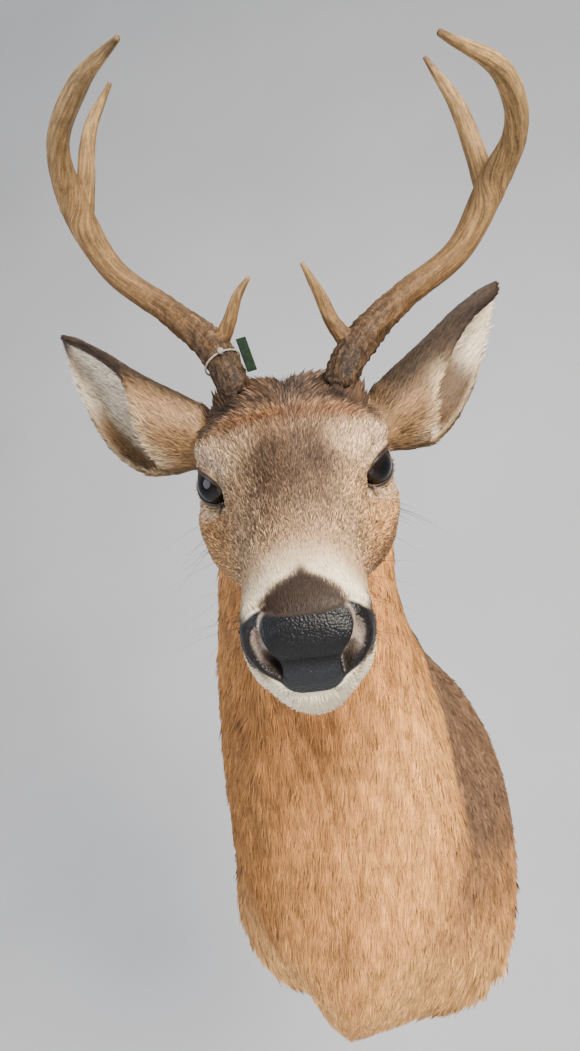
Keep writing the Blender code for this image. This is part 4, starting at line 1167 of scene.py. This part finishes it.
# ---------------------------------------------------------------- antlers
def antler_surface(rows, count, sides, seed, knobs):
    """Tube along a spine: lengthwise grooves all over, and pearls where knobs says, thick near the root.

    Also gives, at each point, the groove's height, the share of the way along, and a place
    that changes quickly round the bone and slowly along it, for the fine lines.
    """
    rows = np.array(rows)
    run = length_along(rows[:, :3])
    at = np.linspace(0.0, run[-1], count)
    values = flow(np.column_stack([run, rows]), at)
    line, radius, at = values[:, :3], values[:, 3], (at / run[-1])[:, None]
    tangent = unit(np.gradient(line, axis=0))
    side = unit(np.cross(tangent, np.array([0.2, 0.1, 1.0])))
    angle = turns(sides)[None, :]
    other = np.cross(tangent, side)
    ring = np.cos(angle)[..., None] * side[:, None] + np.sin(angle)[..., None] * other[:, None]
    source = np.random.default_rng(seed)
    groove = np.zeros((count, sides))
    for lobes, weight in ((5, 0.35), (9, 0.5), (14, 0.45), (21, 0.3)):
        phase = source.uniform(0.0, 6.28)
        drift = source.uniform(-6.0, 6.0) * at + 0.8 * np.sin(at * source.uniform(6.0, 14.0) + phase)
        groove = groove + weight * np.sin(lobes * angle + drift * 2.0 + phase)
    plain = (line[:, None, :] + radius[:, None, None] * ring).reshape(-1, 3)
    pearls = (waves(plain, 0.0075, seed) + 0.8 * waves(plain, 0.0045, seed + 1)).reshape(groove.shape)
    rough = knobs * fall(at, 0.1, 0.42)
    groove = groove * (0.75 - 0.35 * rough) + 1.3 * pearls * rough
    step = 0.0003 * groove * fall(at, 0.82, 1.0) + 0.0008 * np.clip(pearls, -0.6, 1.5) * rough
    grid = line[:, None, :] + (radius[:, None] + step)[..., None] * ring
    lines = np.stack(np.broadcast_arrays(radius[:, None] * np.cos(angle), radius[:, None] * np.sin(angle),
                                         0.07 * length_along(line)[:, None]), axis=-1)
    return grid, groove, np.broadcast_to(at, groove.shape), lines


def burr_surface(side):
    """Knobbed ring where an antler leaves the skull, and the angle round it."""
    beam = BEAM[side][:, :3]
    heading = unit(beam[2] - beam[0])
    first, second = beside(heading)
    turn, roll = np.meshgrid(turns(90), turns(14), indexing="ij")
    lump = 0.0005 * np.sin(7.0 * turn) + 0.0005 * np.sin(12.0 * turn + 1.0) + 0.0003 * np.sin(19.0 * turn)
    thick = 0.0018 + lump
    ring = 0.0132 + lump + thick * np.cos(roll)
    around = np.cos(turn)[..., None] * first + np.sin(turn)[..., None] * second
    rise = (thick * np.sin(roll))[..., None] * heading
    return blend(beam[0], beam[1], 0.45) + ring[..., None] * around + rise, turn


def make_antler(side, material):
    """One antler: beam and two tines joined into one piece of bone, with a pearled burr at its foot."""
    forms, marks = [], []
    for rows, (*settings, young, old) in zip((BEAM[side], *TINES[side]), ANTLER_PARTS):
        grid, groove, at, lines = antler_surface(rows, *settings)
        grid = to_world(grid)
        forms.append(closed_tube("form_bone", grid))
        age = blend(young, old, at)
        marks.append((grid.reshape(-1, 3), groove.ravel(), age.ravel(), lines.reshape(-1, 3)))
    grid, turn = burr_surface(side)
    points, faces = band(to_world(grid))
    forms.append(place_object("form_burr", mesh_from("form_burr", points, faces)))
    marks.append((points, np.sin(11.0 * turn).ravel(), np.full(len(points), 0.05), points))
    antler = joined(forms[0], forms[1:], "antler_" + side)
    mesh = antler.data
    # each point of the joined bone takes the marks of the nearest point of its parts
    known, groove, age, run = (np.concatenate(column) for column in zip(*marks))
    tree = KDTree(len(known))
    for number, point in enumerate(known):
        tree.insert(point, number)
    tree.balance()
    nearest = np.array([tree.find(point)[1] for point in arrays_of(mesh)[0]])
    put(mesh, "groove", "FLOAT", groove[nearest])
    put(mesh, "age", "FLOAT", age[nearest])
    put(mesh, "run", "FLOAT_VECTOR", run[nearest])
    mesh.shade_smooth()
    mesh.materials.clear()
    mesh.materials.append(material)
    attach(antler, "root")
    parts = ("base", "beam", "tip", "brow_tine", "back_tine")
    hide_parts(*(f"antler_{side}_{part}" for part in parts))


# ---------------------------------------------------------------- eyes
def make_eye(side, sign, glass, skin):
    """Glass ball with a slightly raised clear front, and a dark lid rim round its opening."""
    look, lid, up = eye_frame()
    mirror = np.array([1.0, sign, 1.0])
    polar, turn = np.linspace(0.004, np.pi - 0.004, 64)[:, None, None], turns(96)[None, :, None]
    out = np.cos(polar) * look + np.sin(polar) * (np.cos(turn) * lid + np.sin(turn) * up)
    grid = EYE_PLACE + EYE_RADIUS * (1.0 + 0.035 * bell(polar, 0.75)) * out
    eye = closed_tube("glass_eye_" + side, to_world(grid * mirror))
    out = to_head(arrays_of(eye.data)[0]) * mirror - EYE_PLACE
    swing, lift = (np.arctan2(out @ way, out @ look) for way in (lid, up))
    put(eye.data, "iris", "FLOAT", np.clip(np.hypot(swing / 1.05, lift / 0.8), 0.0, 1.0))
    eye.data.materials.append(glass)
    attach(eye, "root")
    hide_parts("eye_" + side)

    # rim: a rounded band along the edge of the opening, drawn out at the front corner
    t = turns(110)
    corner = np.clip(np.cos(t), 0.0, 1.0) ** 8
    way = eye_ways(np.cos(t) * LID_HALF[0] + corner * (LID_CORNER[1][0] - LID_HALF[0]),
                   np.sin(t) * LID_HALF[1] + corner * LID_CORNER[1][1])
    path = EYE_PLACE + way * (EYE_RADIUS + 0.0008)
    across = np.cross(unit(np.roll(path, -1, axis=0) - np.roll(path, 1, axis=0)), way)
    s = turns(12)[None, :, None]
    rim = path[:, None] + 0.0017 * np.cos(s) * across[:, None] + 0.0011 * np.sin(s) * way[:, None]
    piece("lid_rim_" + side, *band(to_world(rim * mirror)), skin)


def bristles(name, material, root, way, droop, length, radius):
    """Single hairs: three-sided rods that bend by droop and thin to a point.

    At t from 0 to 1 along a hair its middle is root + way length t + droop length t squared,
    and its radius is radius (1.1 - t).
    """
    count, rows, sides = len(root), 7, 3
    t = np.linspace(0.0, 1.0, rows)[None, :, None]
    long = length[:, None, None]
    middle = root[:, None] + way[:, None] * long * t + droop * long * t ** 2
    first = unit(np.cross(way, [0.31, 0.52, 0.79]))[:, None, None, :]
    second = np.cross(way[:, None, None, :], first)
    turn = turns(sides)[None, None, :, None]
    ring = radius * (1.1 - t[:, :, None]) * (np.cos(turn) * first + np.sin(turn) * second)
    points = (middle[:, :, None, :] + ring).reshape(-1, 3)
    start = (np.arange(count) * rows * sides)[:, None, None]
    # the fans that end a hair run to the first points of the next one
    faces = [(start + block).reshape(-1, block.shape[1]) for block in tube_faces(rows, sides)]
    piece(name, points, faces, material)


def make_bristles(hide, material):
    """Lashes on the upper lids, and whiskers on the muzzle, chin and round the eyes."""
    points, _, _, normals = arrays_of(hide.data)
    q = to_head(points)
    look, _, up = eye_frame()
    lashes, whiskers, by_eye = 46, 28, 9
    for side, sign in SIDES:
        mirror = np.array([1.0, sign, 1.0])
        t = np.radians(np.linspace(28.0, 158.0, lashes)) + RNG.normal(size=lashes) * 0.02
        out = eye_ways(np.cos(t) * LID_HALF[0], np.sin(t) * LID_HALF[1] * 1.04)
        way = unit(0.55 * out + 0.55 * look + 0.55 * up + RNG.normal(size=(lashes, 3)) * 0.1)
        length = RNG.uniform(0.006, 0.011, lashes) * (0.6 + 0.4 * np.sin(t))
        root = to_world((EYE_PLACE + out * (EYE_RADIUS + 0.0012)) * mirror)
        droop = HEAD @ (0.35 * up * mirror)
        bristles("lashes_" + side, material, root, (way * mirror) @ HEAD.T, droop, length, 0.0002)

        x, z = RNG.uniform(0.105, 0.17, whiskers), RNG.uniform(-0.05, 0.004, whiskers)
        x[-by_eye:], z[-by_eye:] = RNG.uniform(-0.016, 0.052, by_eye), RNG.uniform(-0.045, -0.02, by_eye)
        flat = q[:, ::2] + np.where(q[:, 1] * sign > 0.01, 0.0, 1.0)[:, None]
        nearest = np.argmin(np.linalg.norm(flat[:, None] - np.column_stack([x, z]), axis=2), axis=0)
        root, normal = points[nearest], normals[nearest]
        way = unit(normal + 0.45 * (HEAD @ (0.9, 0.0, -0.5)) + RNG.normal(size=(whiskers, 3)) * 0.25)
        bristles("whiskers_" + side, material, root - normal * 0.001, way, np.array([0.0, 0.0, -0.22]),
                 RNG.uniform(0.016, 0.042, whiskers), 0.00016)


# ---------------------------------------------------------------- whole mount
def dress():
    """Hide, coat, antlers and eyes round the frame, and finishes for the nodes that stay."""
    # dark horn of the hairs, and moist dark skin of the lid rims
    horn = plain_material("whisker_horn", "#1D1612", "#57483B", 0.004, 0.45)
    skin = plain_material("bare_lid_skin", "#120E0D", "#2B211D", 0.0012, 0.38)
    hide = make_hide()
    mesh = hide.data
    points, triangles, region, normals = arrays_of(mesh)
    number = np.zeros(len(points), np.int32)
    number[triangles.ravel()] = np.repeat(region, 3)
    tone, leather = colour_of(points, number, normals)
    put(mesh, "tone", "FLOAT_COLOR", tone)
    put(mesh, "bare", "FLOAT", leather)
    make_coat(hide, hair_material())
    make_bristles(hide, horn)
    mesh.materials.clear()
    mesh.materials.append(hide_material())
    mesh.polygons.foreach_set("material_index", np.zeros(len(mesh.polygons), np.int32))
    mesh.shade_smooth()
    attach(hide, "root")
    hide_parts("shoulders", "neck", "head", "muzzle", "nose_pad", "lower_jaw",
                "ear_right", "ear_left")
    bone, glass = bone_material(), eye_material()
    for side, sign in SIDES:
        make_antler(side, bone)
        make_eye(side, sign, glass, skin)
    # pale wood with its grain upright, dull dark green film, off-white twisted thread
    wood = plain_material("birch_plywood", "#A37C50", "#C9A473", 0.004, 0.75, (14.0, 14.0, 1.0), 0.2)
    film = plain_material("green_polythene", "#010A03", "#05240A", 0.004, 0.6, specular=0.12)
    cotton = plain_material("white_cotton_thread", "#6E675C", "#A59D90", 0.0006, 0.85, bump=0.6)
    for node, finish in (("backboard", wood), ("tag", film), ("tag_thread", cotton)):
        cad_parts[node].data.materials.clear()
        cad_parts[node].data.materials.append(finish)


def pose(thing, *columns):
    """Give a lamp or camera its right, up and backward axes and its place."""
    thing.matrix_world = Matrix([*np.column_stack(columns).tolist(), [0.0, 0.0, 0.0, 1.0]])


def make_studio():
    """Pale floor that sweeps up into a plain backdrop, soft lights and the camera."""
    bend = np.linspace(0.0, np.pi / 2.0, 40)
    sweep = np.column_stack([0.55 + 2.0 * np.sin(bend), 0.7 - 2.0 * np.cos(bend)])
    line = np.concatenate([[[-3.5, -1.3]], sweep, [[2.55, 6.0]]])
    y, x = np.meshgrid(line[:, 0], np.linspace(-6.0, 6.0, 9), indexing="ij")
    z = np.broadcast_to(line[:, 1][:, None], x.shape)
    index = np.arange(x.size).reshape(x.shape)
    quads = np.stack([index[:-1, :-1], index[:-1, 1:], index[1:, 1:], index[1:, :-1]], axis=-1)
    points = np.stack([x, y, z], axis=-1).reshape(-1, 3)
    floor = place_object("studio_floor", mesh_from("studio_floor", points, [quads.reshape(-1, 4)]))
    paint = Finish("matt_pale_paint", 0.9)
    colour = paint.ramp(paint.noise(1.5, 3.0), (0.35, "#E6E6E7"), (0.65, "#ECECED"))
    floor.data.materials.append(paint.done(Base_Color=colour))

    world = bpy.data.worlds.new("studio")
    bpy.context.scene.world = world
    world.use_nodes = True
    sky = world.node_tree.nodes["Background"].inputs
    sky[0].default_value, sky[1].default_value = (*linear("#E9EEF5"), 1.0), 0.5
    for name, place, size, power, colour in LAMPS:
        lamp = bpy.data.lights.new(name, "AREA")
        lamp.shape, lamp.size, lamp.energy, lamp.color = "DISK", size, power, linear(colour)
        back = unit(np.array(place) - LAMP_AIM)
        right = unit(np.cross([0.0, 0.0, 1.0], back))
        pose(place_object(name, lamp), right, np.cross(back, right), back, place)

    lens = bpy.data.cameras.new("camera")
    lens.sensor_width, lens.lens, lens.clip_start = SENSOR, LENS, 0.01
    camera = place_object("camera", lens)
    back, right, up = axes(*CAMERA_TURNS).T
    pose(camera, right, up, back, CAMERA_PLACE)
    bpy.context.scene.camera = camera


dress()
make_studio()
